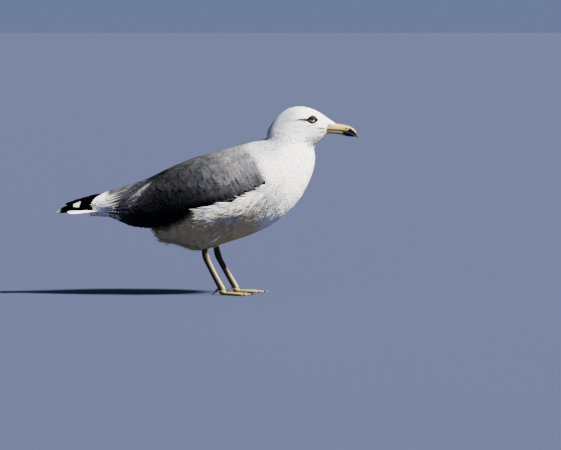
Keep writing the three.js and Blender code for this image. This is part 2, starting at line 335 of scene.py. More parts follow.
# %% [markdown]
# ## The lie of the plumage
# Feathers grow from the bill backwards: over the crown and down the nape, down the throat and over the
# breast, then along the belly to the tail. That direction could be combed by hand. But a line down the
# middle of the body gives it anywhere by itself, because the nearest piece of the line already points the
# right way. Folded wings have a lie of their own, level along the shoulder and steeper towards the lower
# edge.

# %% The line down the body
# Lengths and heights of the line down the middle of the body, from the tip of the bill to the tail.
SPINE = MM * np.array([
    (250, 300), (215, 312), (185, 312), (160, 285), (144, 245),
    (110, 212), (60, 192), (0, 172), (-60, 162), (-120, 156), (-230, 152),
], float)


def smooth(x, low, high):
    """A soft step from 0 at low to 1 at high."""
    t = np.clip((x - low) / (high - low), 0.0, 1.0)
    return t * t * (3 - 2 * t)


def along_spine(points):
    """For each point: how far down the spine it lies from 0 to 1, the place there and its direction."""
    flat = points[:, [0, 2]]
    starts, steps = SPINE[:-1], np.diff(SPINE, axis=0)
    headings = unit(np.vstack([steps[0], unit(steps[:-1]) + unit(steps[1:]), steps[-1]]))
    share = np.einsum("nsk,sk->ns", flat[:, None] - starts, steps) / (steps**2).sum(axis=1)
    share = np.clip(share, 0.0, 1.0)
    gaps = np.linalg.norm(flat[:, None] - starts - share[..., None] * steps, axis=2)
    piece = gaps.argmin(axis=1)
    t = share[np.arange(len(flat)), piece]
    place = starts[piece] + t[:, None] * steps[piece]
    heading = unit((1 - t)[:, None] * headings[piece] + t[:, None] * headings[piece + 1])
    zero = np.zeros(len(flat))
    return (
        (piece + t) / len(steps),
        np.stack([place[:, 0], zero, place[:, 1]], axis=1),
        np.stack([heading[:, 0], zero, heading[:, 1]], axis=1),
    )


def lie_of_body(points):
    """The direction of the body's plumage at each point."""
    return along_spine(points)[2]


print("spine length in mm:", round(np.linalg.norm(np.diff(SPINE, axis=0), axis=1).sum() / MM))


# %% The lie of the folded wing
# Lengths and heights of the folded wing's upper and lower edge, seen from the side.
WING_TOP = MM * np.array([
    (-219, 166), (-184, 188.5), (-146, 202), (-111, 211.5), (-68, 231.5), (-13, 252.5),
    (35, 264.5), (78, 274), (118, 262),
])
WING_LOW = MM * np.array([
    (-219, 166), (-163, 143), (-148, 128), (-120, 125), (-90, 126), (-61, 131.4), (-42, 142),
    (-22, 157.5), (20, 169), (61, 177.6), (100, 199.8), (118, 215),
])


def down_the_wing(points):
    """How far each point lies from the wing's top edge, 0, to its lower edge, 1."""
    top = np.interp(points[:, 0], *WING_TOP.T)
    low = np.interp(points[:, 0], *WING_LOW.T)
    return np.clip((top - points[:, 2]) / np.maximum(top - low, 5 * MM), 0.0, 1.0)


def sloping(degrees):
    """Side-view headings towards the tail, each so many degrees below level."""
    angle = np.radians(degrees)
    return np.stack([-np.cos(angle), np.zeros(len(angle)), -np.sin(angle)], axis=1)


def lie_of_wing(points):
    """The direction of the folded wing's plumage at each point."""
    return sloping(30 + 34 * down_the_wing(points) * smooth(-points[:, 0], -110 * MM, -30 * MM))


wing_lie = lie_of_wing(form_middles[form_part == FLESH.index("wing_left")])
print("steepest lie on the wing, in degrees:", np.degrees(np.arcsin(-wing_lie[:, 2])).max().round())


# %% Turning on the surface
def on_surface(headings, normals):
    """Directions laid flat on the surface."""
    return unit(headings - (headings * normals).sum(axis=-1, keepdims=True) * normals)


def turned(headings, normals, degrees):
    """Headings turned on the surface by an angle for each."""
    angle = np.radians(degrees)[:, None]
    return headings * np.cos(angle) + np.cross(normals, headings) * np.sin(angle)


def laid_along(headings, normals, degrees):
    """Headings laid flat on the surface, and turned there by an angle for each."""
    return turned(on_surface(headings, normals), normals, degrees)


def waves(points, size, phase=0.0):
    """A smooth uneven field between about -1 and 1, with swells of this size in millimetres."""
    x, y, z = points.T / (size * MM) * 2 * math.pi
    swell = np.sin(0.9 * x + 0.5 * z + 0.7 * y + phase) + np.sin(0.6 * z - 0.8 * x + 1.3 * y + 2 * phase + 1)
    return 0.5 * (swell + np.sin(1.7 * x + 1.3 * z - y + 3 * phase) * np.sin(1.1 * z - 1.5 * y + phase))


print("swell of a wave over the form:", round(np.ptp(waves(form_middles, 34)), 2))

# %% [markdown]
# ## One pattern for skin and feathers
# The bird's colours are worked out by a formula from a place on the body: white, with a grey saddle that
# ends in a soft line at the shoulder, a dark line behind each eye and faint smudges on the face. The same
# formula paints shade too: on the nape, on the underside, below the wing and towards the wing's lower rear.
# Painting by hand would give the same look, but skin and feathers would need a painting each. Here both ask
# one formula, so they can't disagree.

# %% Colours of the plumage
WHITE = np.array([0.90, 0.895, 0.88])
# Warm grey of the underside, partly a stain and partly painted shade; the tail takes a trace of it at the
# shaft.
WARM_WHITE = np.array([0.57, 0.46, 0.23])
# The lit and the shaded end of the wing's grey, between which the painted shade runs.
LIT_GREY = np.array([0.150, 0.152, 0.166])
SHADED_GREY = np.array([0.0026, 0.0027, 0.0034])
BLACK = np.array([0.0007, 0.0007, 0.0009])
DUSK = np.array([0.020, 0.018, 0.016])
# Grey of the nape and cheek: mostly painted shade, partly the grey of a winter head.
NAPE_GREY_AND_SHADE = np.array([0.26, 0.28, 0.36])
# Painted shadow on the belly below the rear of the wing.
UNDERWING_SHADOW = np.array([0.020, 0.017, 0.010])
LID_BLACK = np.array([0.0030, 0.0026, 0.0022])
RIM_PALE = np.array([0.20, 0.20, 0.23])
print("white above and below:", WHITE.tolist(), WARM_WHITE.tolist())


# %% Where the white ends
# Heights and lengths of the line at the shoulder, and lengths and heights of the other two.
SHOULDER = MM * np.array([
    (198, 122), (212, 122), (220, 113), (230, 107), (254, 98), (274, 80), (300, 66),
])
RUMP_TOP = MM * np.array([(-217, 160), (-175, 169), (-133, 184), (-90, 206)])
RIM = MM * np.array([
    (-158, 144), (-146, 164.6), (-138, 176), (-129, 187), (-120, 197), (-112.6, 207), (-104, 218),
])


def shoulder_line(points):
    """How far each point lies behind the line where the white of the neck ends, in metres."""
    return np.interp(points[:, 2], *SHOULDER.T) - points[:, 0]


def grey_share(points):
    """0 on white plumage and 1 on the grey saddle and wings."""
    x, _, z = points.T
    soft = 10 * MM + 3 * MM * smooth(z, 225 * MM, 250 * MM)
    behind = smooth(shoulder_line(points) / soft, -1, 1)
    above = smooth(z - np.interp(x, *WING_LOW.T), -3 * MM, 0.5 * MM)
    rump = smooth(-x, 146 * MM, 152 * MM) * smooth(np.interp(x, *RUMP_TOP.T) + 5 * MM - z, 0, 3 * MM)
    return behind * above * (1 - rump)


def behind_the_rim(points):
    """How far each point lies behind the pale rear edge of the shoulder feathers, in millimetres."""
    return (np.interp(points[:, 2], RIM[:, 1], RIM[:, 0]) - points[:, 0]) / MM


print("grey triangles of the form:", int((grey_share(form_middles) > 0.5).sum()))


# %% The grey of the wing, with painted shade
# How light the grey is along the wing's upper and lower edge: 0 is the darkest grey and 1 the lightest. The
# darkening towards the lower edge and the rear is painted shade.
TOP_PAINTED_LIGHT = np.array([
    (-142, 0.66), (-122, 0.58), (-104, 0.46), (-84, 0.33), (-50, 0.50), (0, 0.68), (45, 0.90), (80, 1.0),
])
LOW_PAINTED_LIGHT = np.array([
    (-150, 0.44), (-124, 0.20), (-100, 0.03), (-48, 0.05), (-30, 0.15), (6, 0.37), (43, 0.52), (80, 0.62),
    (118, 0.66),
])
FOLD_SLOPE = 0.543


def blend(colours, towards, share):
    """Colours moved towards another by a share."""
    return colours + (towards - colours) * share[:, None]


def grey_tone(points):
    """The grey of back and wings, with painted shade: light at the shoulder, and nearly black at the rear of
    the lower edge.
    """
    x, _, z = points.T / MM
    down = down_the_wing(points) ** (0.75 + 0.85 * smooth(x, -90, 0))
    light = np.interp(x, *TOP_PAINTED_LIGHT.T) * (1 - down) + np.interp(x, *LOW_PAINTED_LIGHT.T) * down
    grey = SHADED_GREY * (LIT_GREY / SHADED_GREY) ** light[:, None]
    streak = np.sin((z - 0.6 * x) * 0.8) + 0.6 * np.sin((z - 0.75 * x) * 1.9)
    grey = grey * (1 + 0.35 * streak * smooth(-x, 106, 122))[:, None]
    grey = blend(grey, WHITE * 0.85, smooth(-x, 178, 192))
    ahead = -behind_the_rim(points) - 5
    pale = np.exp(-(ahead / 3.6) ** 2) * smooth(z, 150, 162) * smooth(-z, -208, -196)
    grey = blend(grey, RIM_PALE, 0.75 * pale * (0.7 + 0.3 * np.sin(1.3 * z)))
    # Painted shade: a dark band along the top edge of the wing's rear, where the far side of the back lies in
    # shadow.
    over_top = z - np.interp(points[:, 0], *WING_TOP.T) / MM
    ridge = smooth(over_top, -6, -1) * smooth(x, -114, -104) * smooth(-x, 66, 78)
    fold = smooth(-x, 176, 183) * smooth(z - FOLD_SLOPE * (x + 216), 170, 172.5)
    return blend(grey, BLACK, np.clip(fold + 0.85 * ridge, 0, 1))


grey_places = form_middles[grey_share(form_middles) > 0.5]
print("mean grey:", grey_tone(grey_places).mean(axis=0).round(3))


# %% Marks of the face
# For each mark: its strength, the place of its middle, its half length, its half height and its tilt.
FACE_MARKS = [
    (1.0, 175, 323.8, 14, 1.7, 3), (1.0, 182, 323.2, 6, 2.4, 0),  # the line behind the eye
    (0.75, 199, 315.0, 5.5, 2.0, 25), (0.6, 190, 312.5, 3.5, 1.6, -10),  # below the eye
    (0.8, 200, 329.0, 4.0, 0.9, -38),  # the brow
    (0.36, 166, 312, 8, 1.8, 10), (0.32, 152, 324, 12, 3, 14),  # ear and crown
    (0.28, 160, 334, 10, 2.2, 20), (0.32, 170, 303, 9, 1.8, -8),
    (0.42, 190, 290.5, 10, 1.1, -14), (0.35, 202, 287, 5, 1.2, 38),  # the throat
    (0.35, 196, 283, 5, 1.0, 42), (0.3, 184, 285, 7, 1.0, -20),
    # The gape's two marks are painted shade: in the line of the gape and under the fold of skin below it.
    (1.1, 213, 306.4, 9, 1.7, -9), (0.9, 215, 300.4, 8, 1.3, 14),  # the gape
]


def smudge(points, x, z, long, tall, tilt):
    """A soft oval spot on both sides of the head, 1 at its middle. Sizes are in millimetres."""
    dx = points[:, 0] / MM - x
    dz = points[:, 2] / MM - z
    turn = math.radians(tilt)
    u = (dx * math.cos(turn) + dz * math.sin(turn)) / long
    v = (dz * math.cos(turn) - dx * math.sin(turn)) / tall
    return np.exp(-(u * u + v * v))


def dusk_share(points):
    """How much of the dark of the face marks each point has."""
    total = sum(strength * smudge(points, *mark) for strength, *mark in FACE_MARKS)
    return np.clip(total, 0.0, 1.0) * smooth(points[:, 0] / MM, 110, 130)


ALMOND = {"x": 195.4, "z": 322.4, "half_long": 11.8, "above": 7.6, "below": 6.0}


def almond_share(points):
    """The black almond round the eye, drawn out to a thin point behind and in front."""
    x, z = points[:, 0] / MM - ALMOND["x"], points[:, 2] / MM - ALMOND["z"]
    rise = z - 0.06 * x
    tall = np.where(rise > 0, ALMOND["above"], ALMOND["below"])
    tall = tall * np.clip(1 - (np.abs(x) / ALMOND["half_long"]) ** 1.9, 0.0, 1.0) + 0.3
    return smooth(-np.abs(rise) / tall, -1.2, -0.95) * smooth(-np.abs(x), -12.4, -10.6)


print("face marks:", len(FACE_MARKS))


# %% Stain and painted shade of the underside, below the wing and on the nape
def below_the_spine(points):
    """How far each point lies below the line down the middle of the body, in metres."""
    _, middle, heading = along_spine(points)
    up = np.stack([heading[:, 2], 0 * heading[:, 0], -heading[:, 0]], axis=1)
    return -((points - middle) * up).sum(axis=1)


def under_the_wing(points):
    """How far each point lies below the wing's lower edge, in millimetres."""
    return (np.interp(points[:, 0], *WING_LOW.T) - points[:, 2]) / MM


def underside_stain_and_shade(points):
    """How far the white turns to warm grey on the underside: partly a real stain, partly painted shade, which
    reaches higher towards the rear, up under the wing.
    """
    depth = below_the_spine(points) / MM + 5 * waves(points, 30, 1)
    x = points[:, 0] / MM
    under_wing = 26 * smooth(-x, -20, 45)
    return 0.95 * smooth(depth + under_wing, 11, 40) * smooth(138 - x, 0, 56)


def underwing_shadow_share(points):
    """How dark the painted shadow is on the narrow strip of belly that hides below the rear of the wing."""
    below = under_the_wing(points)
    return 0.9 * smooth(-below, -17, -3) * smooth(-points[:, 0], 12 * MM, 32 * MM) * smooth(below, -8, -3)


def nape_grey_and_shade(points):
    """The faint grey wash down the back of the head, the nape and the cheek: mostly painted shade, partly the
    grey of a winter head.
    """
    x, _, z = points.T / MM
    back = np.interp(z, [225, 262, 290, 320, 345], [104, 118, 128, 136, 158])
    wash = smooth(back - x, -36, -3) * smooth(z, 240, 275)
    return 0.75 * wash + 0.30 * smudge(points, 160, 294, 22, 15, 20)


def markings(points):
    """The colour of the plumage at each point, with painted shade on the nape, the underside, below the wing
    and towards the wing's lower rear.
    """
    colours = np.tile(WHITE, (len(points), 1))
    colours = blend(colours, WARM_WHITE, underside_stain_and_shade(points))
    colours = blend(colours, NAPE_GREY_AND_SHADE, nape_grey_and_shade(points))
    colours = blend(colours, UNDERWING_SHADOW, underwing_shadow_share(points))
    colours = blend(colours, grey_tone(points), grey_share(points))
    colours = blend(colours, DUSK, dusk_share(points))
    return blend(colours, LID_BLACK, almond_share(points))


print("mean colour of the form:", markings(form_middles).mean(axis=0).round(2))

# %% [markdown]
# ## An unwrap that follows the body
# A colour map of the whole bird is easiest to read when it is cut along the belly and rolled out: one
# direction runs down the spine, and the other goes once round the body. A smart unwrap would be quicker,
# but it would tear the coat into hundreds of islands. Each small feather takes a tiny patch of this map at
# the place where it is rooted.

# %% The rolled-out map
ROUND_THE_MAP = 0.90
PATCH = 0.003


def rolled_out(points):
    """The place of each point on the map: down the spine, and round it from the belly."""
    share = along_spine(points)[0]
    around = 0.5 + np.arctan2(points[:, 1], -below_the_spine(points)) / (2 * math.pi)
    return np.stack([0.02 + 0.96 * share, 0.03 + ROUND_THE_MAP * around], axis=1)


def add_map(mesh, name, corner_places):
    """Adds a UV map from one place for each face corner."""
    layer = mesh.uv_layers.new(name=name)
    layer.data.foreach_set("uv", corner_places.astype(np.float32).ravel())


def add_colours(mesh, colours):
    """Stores one colour for each point as the attribute that the finish reads."""
    layer = mesh.color_attributes.new(name="marking", type="FLOAT_COLOR", domain="POINT")
    rgba = np.ones((len(colours), 4), np.float32)
    rgba[:, :3] = colours
    layer.data.foreach_set("color", rgba.ravel())


def mesh_of(name, points, faces):
    """A mesh object from arrays of points and triangles."""
    mesh = bpy.data.meshes.new(name)
    mesh.vertices.add(len(points))
    mesh.vertices.foreach_set("co", points.astype(np.float32).ravel())
    mesh.loops.add(faces.size)
    mesh.loops.foreach_set("vertex_index", faces.astype(np.int32).ravel())
    mesh.polygons.add(len(faces))
    mesh.polygons.foreach_set("loop_start", np.arange(0, faces.size, 3, dtype=np.int32))
    mesh.update(calc_edges=True)
    piece = bpy.data.objects.new(name, mesh)
    bpy.context.collection.objects.link(piece)
    return piece


form_map = rolled_out(form_middles)
print("map of the form:", form_map.min(axis=0).round(2), form_map.max(axis=0).round(2))

# %% [markdown]
# ## The finish of the feathers
# A feather's sheen comes from its barbs: fine parallel threads that run out from the shaft. They could be
# modelled, but a gull has millions of them, so a slanted wave in the finish stands for them. The colour
# comes from the marking formula. A shared group adds the barbs and a little uneven dirt, and each plumage
# finish uses it with its own values.


# %% Small makers of finishes
def stored_marking(tree):
    """The colour stored at each point of a piece."""
    stored = add_node(tree, "Attribute")
    stored.attribute_name = "marking"
    return stored.outputs["Color"]


def own_places(tree):
    """Places in a piece's own space, for the noises."""
    return add_node(tree, "TexCoord").outputs["Object"]


def noise(tree, places, scale, detail=2.0):
    """A soft noise over places, from 0 to 1."""
    texture = add_node(tree, "TexNoise", Scale=scale, Detail=detail)
    wire(tree, (places, texture.inputs["Vector"]))
    return texture.outputs["Fac"]


def math_node(tree, operation, first, second=0.0):
    """A Math node fed by two links or numbers, giving its output."""
    node = add_node(tree, "Math")
    node.operation = operation
    for socket, value in zip(node.inputs, (first, second)):
        if isinstance(value, (int, float)):
            socket.default_value = value
        else:
            tree.links.new(value, socket)
    return node.outputs[0]


def scaled(tree, colour, factor):
    """A colour multiplied by a factor."""
    tint = add_node(tree, "VectorMath")
    tint.operation = "SCALE"
    wire(tree, (colour, tint.inputs[0]), (factor, tint.inputs["Scale"]))
    return tint.outputs[0]


def raised(tree, height, strength, distance):
    """A normal that shows this height as relief."""
    relief = add_node(tree, "Bump", Strength=strength, Distance=distance)
    wire(tree, (height, relief.inputs["Height"]))
    return relief.outputs["Normal"]


print("makers of finishes ready")


# %% Barbs, as a shared effect
def new_group(name, inputs, outputs):
    """An empty shader node group with these named sockets, and its two end nodes."""
    group = bpy.data.node_groups.new(name, "ShaderNodeTree")
    for label, kind, value in inputs:
        socket = group.interface.new_socket(name=label, in_out="INPUT", socket_type=kind)
        if value is not None:
            socket.default_value = value
    for label, kind in outputs:
        group.interface.new_socket(name=label, in_out="OUTPUT", socket_type=kind)
    return group, group.nodes.new("NodeGroupInput"), group.nodes.new("NodeGroupOutput")


def build_barbs():
    """Barb height and a soft colour variation, from a feather's own map and the place on the bird."""
    group, given, result = new_group(
        "barbs",
        [
            ("Colour", "NodeSocketColor", None),
            ("Barbs", "NodeSocketFloat", 60.0),
            ("Slant", "NodeSocketFloat", 0.5),
            ("Depth", "NodeSocketFloat", 0.1),
            ("Patches", "NodeSocketFloat", 0.1),
            ("Streaks", "NodeSocketFloat", 0.1),
        ],
        [("Colour", "NodeSocketColor"), ("Height", "NodeSocketFloat")],
    )

    def calc(operation, first, second=0.0):
        """The output of a Math node in this group."""
        return math_node(group, operation, first, second)

    vane = add_node(group, "UVMap")
    vane.uv_map = "Vane"
    split = add_node(group, "SeparateXYZ")
    wire(group, (vane.outputs["UV"], split.inputs[0]))
    place = own_places(group)

    across = calc("ABSOLUTE", calc("SUBTRACT", split.outputs["X"], 0.5))
    slanted = calc("SUBTRACT", split.outputs["Y"], calc("MULTIPLY", across, given.outputs["Slant"]))
    turns = calc("MULTIPLY", slanted, given.outputs["Barbs"])
    wobble = calc("MULTIPLY", noise(group, place, 300.0), 3.0)
    wave = calc("SINE", calc("ADD", turns, wobble))
    dark_barb = calc("MULTIPLY", calc("ADD", wave, -1.0), given.outputs["Depth"])

    broad = calc("SUBTRACT", noise(group, place, 55.0, 3.0), 0.65)
    dark_patch = calc("MULTIPLY", broad, given.outputs["Patches"])

    lean = add_node(group, "Mapping", Rotation=(0.0, math.radians(-28), 0.0), Scale=(0.0042, 0.0100, 0.026))
    lean.vector_type = "TEXTURE"
    wire(group, (place, lean.inputs["Vector"]))
    long_marks = calc("SUBTRACT", noise(group, lean.outputs["Vector"], 1.0, 3.0), 0.5)
    streak = calc("MULTIPLY", long_marks, given.outputs["Streaks"])

    shade = calc("ADD", calc("ADD", 1.0, streak), calc("ADD", dark_barb, dark_patch))
    wire(
        group,
        (scaled(group, given.outputs["Colour"], shade), result.inputs["Colour"]),
        (wave, result.inputs["Height"]),
    )
    return group


BARBS = build_barbs()
print("nodes in the shared effect:", len(BARBS.nodes))

# %% Three plumage finishes
BARB_HEIGHT = 0.2 * MM


def plumage_finish(name, roughness, specular, relief, **barbs):
    """A feather finish that paints the stored marking, with barbs of its own fineness."""
    material, shader = principled(name, Roughness=roughness, Specular_IOR_Level=specular)
    tree = material.node_tree
    effect = add_node(tree, "Group")
    effect.node_tree = BARBS
    for socket, value in barbs.items():
        effect.inputs[socket].default_value = value
    wire(
        tree,
        (stored_marking(tree), effect.inputs["Colour"]),
        (effect.outputs["Colour"], shader.inputs["Base Color"]),
        (raised(tree, effect.outputs["Height"], relief, BARB_HEIGHT), shader.inputs["Normal"]),
    )
    return material


SOFT_FINISH = plumage_finish(
    "soft_plumage", 0.8, 0.10, 0.10, Barbs=40.0, Slant=0.8, Depth=0.03, Patches=0.10, Streaks=0.0
)
COVERT_FINISH = plumage_finish(
    "covert_plumage", 0.85, 0.03, 0.18, Barbs=120.0, Slant=0.9, Depth=0.10, Patches=0.5, Streaks=1.9
)
FLIGHT_FINISH = plumage_finish(
    "flight_plumage", 0.7, 0.0, 0.2, Barbs=500.0, Slant=0.25, Depth=0.08, Patches=0.12, Streaks=0.0
)
print("finishes:", SOFT_FINISH.name, COVERT_FINISH.name, FLIGHT_FINISH.name)

# %% [markdown]
# ## The skin
# The skin is the form sunk by the depth of the coat: about a millimetre at the bill, three on the breast.
# A dense coat could lie over nothing at all, but a gap between two feathers would then be a hole. The skin
# carries the same markings as the coat, so that nothing strange shows between two feathers.

# %% Sink the form
# Depths in millimetres, in the order of FLESH. The coat of the head gets deeper towards the nape.
COAT_DEPTHS = np.array([1.0, 2.2, 2.6, 1.8, 1.8, 1.8, 2.5, 2.5])
NAPE_EXTRA = 0.8


def coat_depth(points, parts):
    """How deep the coat is at each point, in metres."""
    extra = NAPE_EXTRA * smooth(-points[:, 0], -205 * MM, -140 * MM) * (parts == HEAD)
    return (COAT_DEPTHS[parts] + extra) * MM


point_part = np.zeros(len(form_points), int)
point_part[form_faces.ravel()] = np.repeat(form_part, 3)
skin_points = form_points - form_normals * coat_depth(form_points, point_part)[:, None]
skin = mesh_of("skin", skin_points, form_faces)
apply_modifier(skin, "SMOOTH", factor=0.5, iterations=4)
skin.data.shade_smooth()
add_colours(skin.data, markings(form_points))
corner_map = rolled_out(form_points)[form_faces]
span = corner_map[:, :, 1].max(axis=1) - corner_map[:, :, 1].min(axis=1)
crosses = (span > 0.5)[:, None] & (corner_map[:, :, 1] < 0.5)
corner_map[:, :, 1] += ROUND_THE_MAP * crosses
add_map(skin.data, "OFBake", corner_map)
add_map(skin.data, "Vane", corner_map)
skin.data.materials.append(SOFT_FINISH)
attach(skin, "root")
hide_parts(*FLESH)
form.hide_render = True
print("skin triangles:", len(skin.data.polygons))

# %% [markdown]
# ## How a feather is made
# Up close a body feather is a thin leaf with a raised shaft. Its root sits low in the coat and its tip
# rises over the next feather, like a roof tile. Strands of hair would be quicker, but they look like fur.
# So one function lays any number of leaves: it walks from each root over the form, spreads the vane to
# both sides and closes the underside, so every feather is a thin solid.


# %% Walking over the form
def walk(roots, headings, lengths, stations, curl, ground=settle):
    """Places and normals at each station of a walk over the ground, and the heading there."""
    place, normal = ground(roots)
    heading = on_surface(headings, normal)
    places, normals, ways = [place], [normal], [heading]
    for near, far in zip(stations[:-1], stations[1:]):
        place, normal = ground(place + heading * (lengths * (far - near))[:, None])
        heading = on_surface(turned(heading, normal, curl * (far - near)), normal)
        places.append(place)
        normals.append(normal)
        ways.append(heading)
    return (np.stack(item, axis=1) for item in (places, normals, ways))


def leaf_width(stations, widest, point):
    """The share of the full width at each station: round at the tip, or drawn to a point."""
    rise = np.sin(0.5 * math.pi * np.clip(0.25 + 0.75 * stations / widest, 0, 1))
    fall = np.clip((stations - widest) / (1 - widest), 0, 1)
    return np.where(stations < widest, rise, (1 - fall**2) ** (0.5 + 0.7 * point))


def leaf_faces(rows, columns):
    """Triangles of one closed leaf: a grid above, a strip below, a cap at the root and one tip point."""
    faces = []
    tip = rows * columns
    for i in range(rows - 1):
        a, b = i * columns, (i + 1) * columns
        for j in range(columns - 1):
            faces += [(a + j, a + j + 1, b + j + 1), (a + j, b + j + 1, b + j)]
        faces += [(a, b, b + columns - 1), (a, b + columns - 1, a + columns - 1)]
    last = (rows - 1) * columns
    faces += [(last + j, last + j + 1, tip) for j in range(columns - 1)]
    faces.append((last, tip, last + columns - 1))
    faces += [(0, j + 1, j) for j in range(1, columns - 1)]
    return np.array(faces)


print("triangles in a small leaf:", len(leaf_faces(3, 3)), "and in a broad one:", len(leaf_faces(6, 5)))


# %% Laying feathers
def lay_feathers(roots, headings, lengths, widths, sink, lift, stations, columns=3, crown=0.1, widest=0.6,
                 point=0.4, snug=False, curl=0.0, ground=settle):
    """Leaves laid on the form. It gives points, triangles, station and side of each point, and its root."""
    count, rows = len(roots), len(stations) - 1
    places, normals, ways = walk(roots, headings, lengths, stations, np.full(count, curl), ground)
    sideways = unit(np.cross(ways, normals))
    side = np.linspace(-1, 1, columns)
    half = 0.5 * widths[:, None] * leaf_width(stations, widest, point)[None]
    spread = places[:, :, None] + sideways[:, :, None] * (half[:, :, None] * side)[..., None]
    up = np.broadcast_to(normals[:, :, None], spread.shape)
    if snug:
        spread, up = settle(spread)
    height = -sink[:, None] * (1 - stations) ** 1.3 + lift[:, None] * stations**1.5
    full = np.sqrt(leaf_width(stations, widest, point))[None, :, None]
    arch = crown * widths[:, None, None] * (1 - side**2)[None, None] * full
    spread = spread + up * (height[:, :, None] + arch)[..., None]
    points = np.concatenate(
        [spread[:, :rows].reshape(count, -1, 3), spread[:, rows, columns // 2][:, None]], axis=1
    )
    station = np.append(np.repeat(stations[:rows], columns), 1.0)
    across = np.append(np.tile(side, rows), 0.0)
    size = points.shape[1]
    faces = leaf_faces(rows, columns)[None] + (np.arange(count) * size)[:, None, None]
    return {
        "points": points,
        "faces": faces.reshape(-1, 3),
        "station": np.tile(station, (count, 1)),
        "across": np.tile(across, (count, 1)),
        "roots": roots,
    }


def dress(piece, colours, map_places, across, station, finish):
    """Gives a piece of the coat its shading, colours, both maps and finish, and attaches it to the body."""
    piece.data.shade_smooth()
    piece.data.set_sharp_from_angle(angle=math.radians(50))
    add_colours(piece.data, colours)
    corners = corners_of(piece)
    add_map(piece.data, "OFBake", map_places[corners])
    add_map(piece.data, "Vane", np.stack([0.5 + 0.5 * across, station], axis=1)[corners])
    piece.data.materials.append(finish)
    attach(piece, "root")


def feather_piece(name, laid, colours, finish):
    """Makes one coat piece of laid feathers, each with a small patch of the map at its root."""
    piece = mesh_of(name, laid["points"].reshape(-1, 3), laid["faces"])
    across, station = laid["across"].ravel(), laid["station"].ravel()
    at_root = np.repeat(rolled_out(laid["roots"]), laid["points"].shape[1], axis=0)
    patch = np.stack([station - 0.5, 0.5 * across], axis=1) * PATCH
    dress(piece, colours.reshape(-1, 3), np.clip(at_root + patch, 0, 1), across, station, finish)
    print(f"{name}: {len(laid['roots'])} feathers, {len(laid['faces'])} triangles")
    return piece


print("feather makers ready")

# %% [markdown]
# ## Where feathers are rooted
# Feathers grow in rows, but the rows of a ruffled bird can't be told apart. A regular grid would show as
# lines, and pure chance would leave bald spots. So places are drawn by chance over the form, and each one
# that comes too close to an earlier one is dropped. Large feathers are rooted in rows by looking at the
# bird from the side.


# %% Choosing roots
def scatter(wanted, spacing, parts=None, keep=None):
    """Roots spread over the form by chance, no two closer than the spacing in metres."""
    allowed = np.ones(len(form_faces), bool) if parts is None else np.isin(form_part, parts)
    a, b, c = (form_points[form_faces[allowed, k]] for k in range(3))
    area = np.linalg.norm(np.cross(b - a, c - a), axis=1)
    pick = dice.choice(len(area), size=wanted, p=area / area.sum())
    u, v = dice.random((2, wanted))
    over = u + v > 1
    u[over], v[over] = 1 - u[over], 1 - v[over]
    points = a[pick] + u[:, None] * (b - a)[pick] + v[:, None] * (c - a)[pick]
    if keep is not None:
        points = points[keep(points)]
    return thin_out(points, spacing)


def thin_out(points, spacing):
    """Drops each point that has an earlier one closer than the spacing."""
    filled, kept = {}, []
    near = [(i, j, k) for i in (-1, 0, 1) for j in (-1, 0, 1) for k in (-1, 0, 1)]
    for index, (x, y, z) in enumerate(points.tolist()):
        a, b, c = int(x // spacing), int(y // spacing), int(z // spacing)
        too_close = any(
            (px - x) ** 2 + (py - y) ** 2 + (pz - z) ** 2 < spacing**2
            for i, j, k in near
            for px, py, pz in filled.get((a + i, b + j, c + k), ())
        )
        if not too_close:
            filled.setdefault((a, b, c), []).append((x, y, z))
            kept.append(index)
    return points[kept]


def in_the_open(points):
    """True where nothing covers the surface, so that no feather is laid in a hidden slot."""
    places, normals = settle(points)
    reach = 14 * MM
    starts = (places + normals * 1.5 * MM).tolist()
    return np.array([
        form_tree.ray_cast(start, normal, reach)[0] is None
        for start, normal in zip(starts, normals.tolist())
    ])


def open_roots(wanted, spacing, parts, keep):
    """Scattered roots, only where nothing covers the surface."""
    roots = scatter(wanted, spacing, parts, keep)
    return roots[in_the_open(roots)]


WELL_OUTSIDE = 300 * MM
INSIDE = 30 * MM


def onto_side(places, side):
    """The places on the form that a bird-watcher sees at these side-view places, x and z."""
    found = []
    for x, z in places:
        hit = form_tree.ray_cast((x, side * WELL_OUTSIDE, z), (0.0, -side, 0.0))[0]
        found.append(hit if hit is not None else form_tree.find_nearest((x, side * INSIDE, z))[0])
    return np.array([list(place) for place in found])


print("scatter test:", len(scatter(500, 6 * MM)))

# %% [markdown]
# ## The face and head
# The smallest feathers of the bird sit round the bill, barely three millimetres long, and they grow
# towards the nape. They could be left to the finish, but then the edge of the head would be as clean as
# plastic. None is rooted inside the ring of bare skin round the eye.

# %% Head feathers
def middle_of(node):
    """The middle of a CAD node's box."""
    low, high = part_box(node)
    return 0.5 * (np.array(low) + np.array(high))


EYE_LEFT = middle_of("eye_left")
EYE_RADIUS = 0.5 * (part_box("eye_left")[1][0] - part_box("eye_left")[0][0])


def round_the_eye(points):
    """Below 1 on the almond of bare skin round the eye, seen from the side."""
    x, z = points[:, 0] - EYE_LEFT[0], points[:, 2] - EYE_LEFT[2]
    return np.hypot((x - 1.5 * MM) / (9.6 * MM), (z - 0.4 * MM) / (6.4 * MM))


SMALL = np.array([0.0, 0.35, 0.72, 1.0])
BROAD = np.array([0.0, 0.3, 0.58, 0.8, 0.93, 1.0])


def spread_of(count, low, high):
    """One random number for each feather, between two limits."""
    return low + (high - low) * dice.random(count)


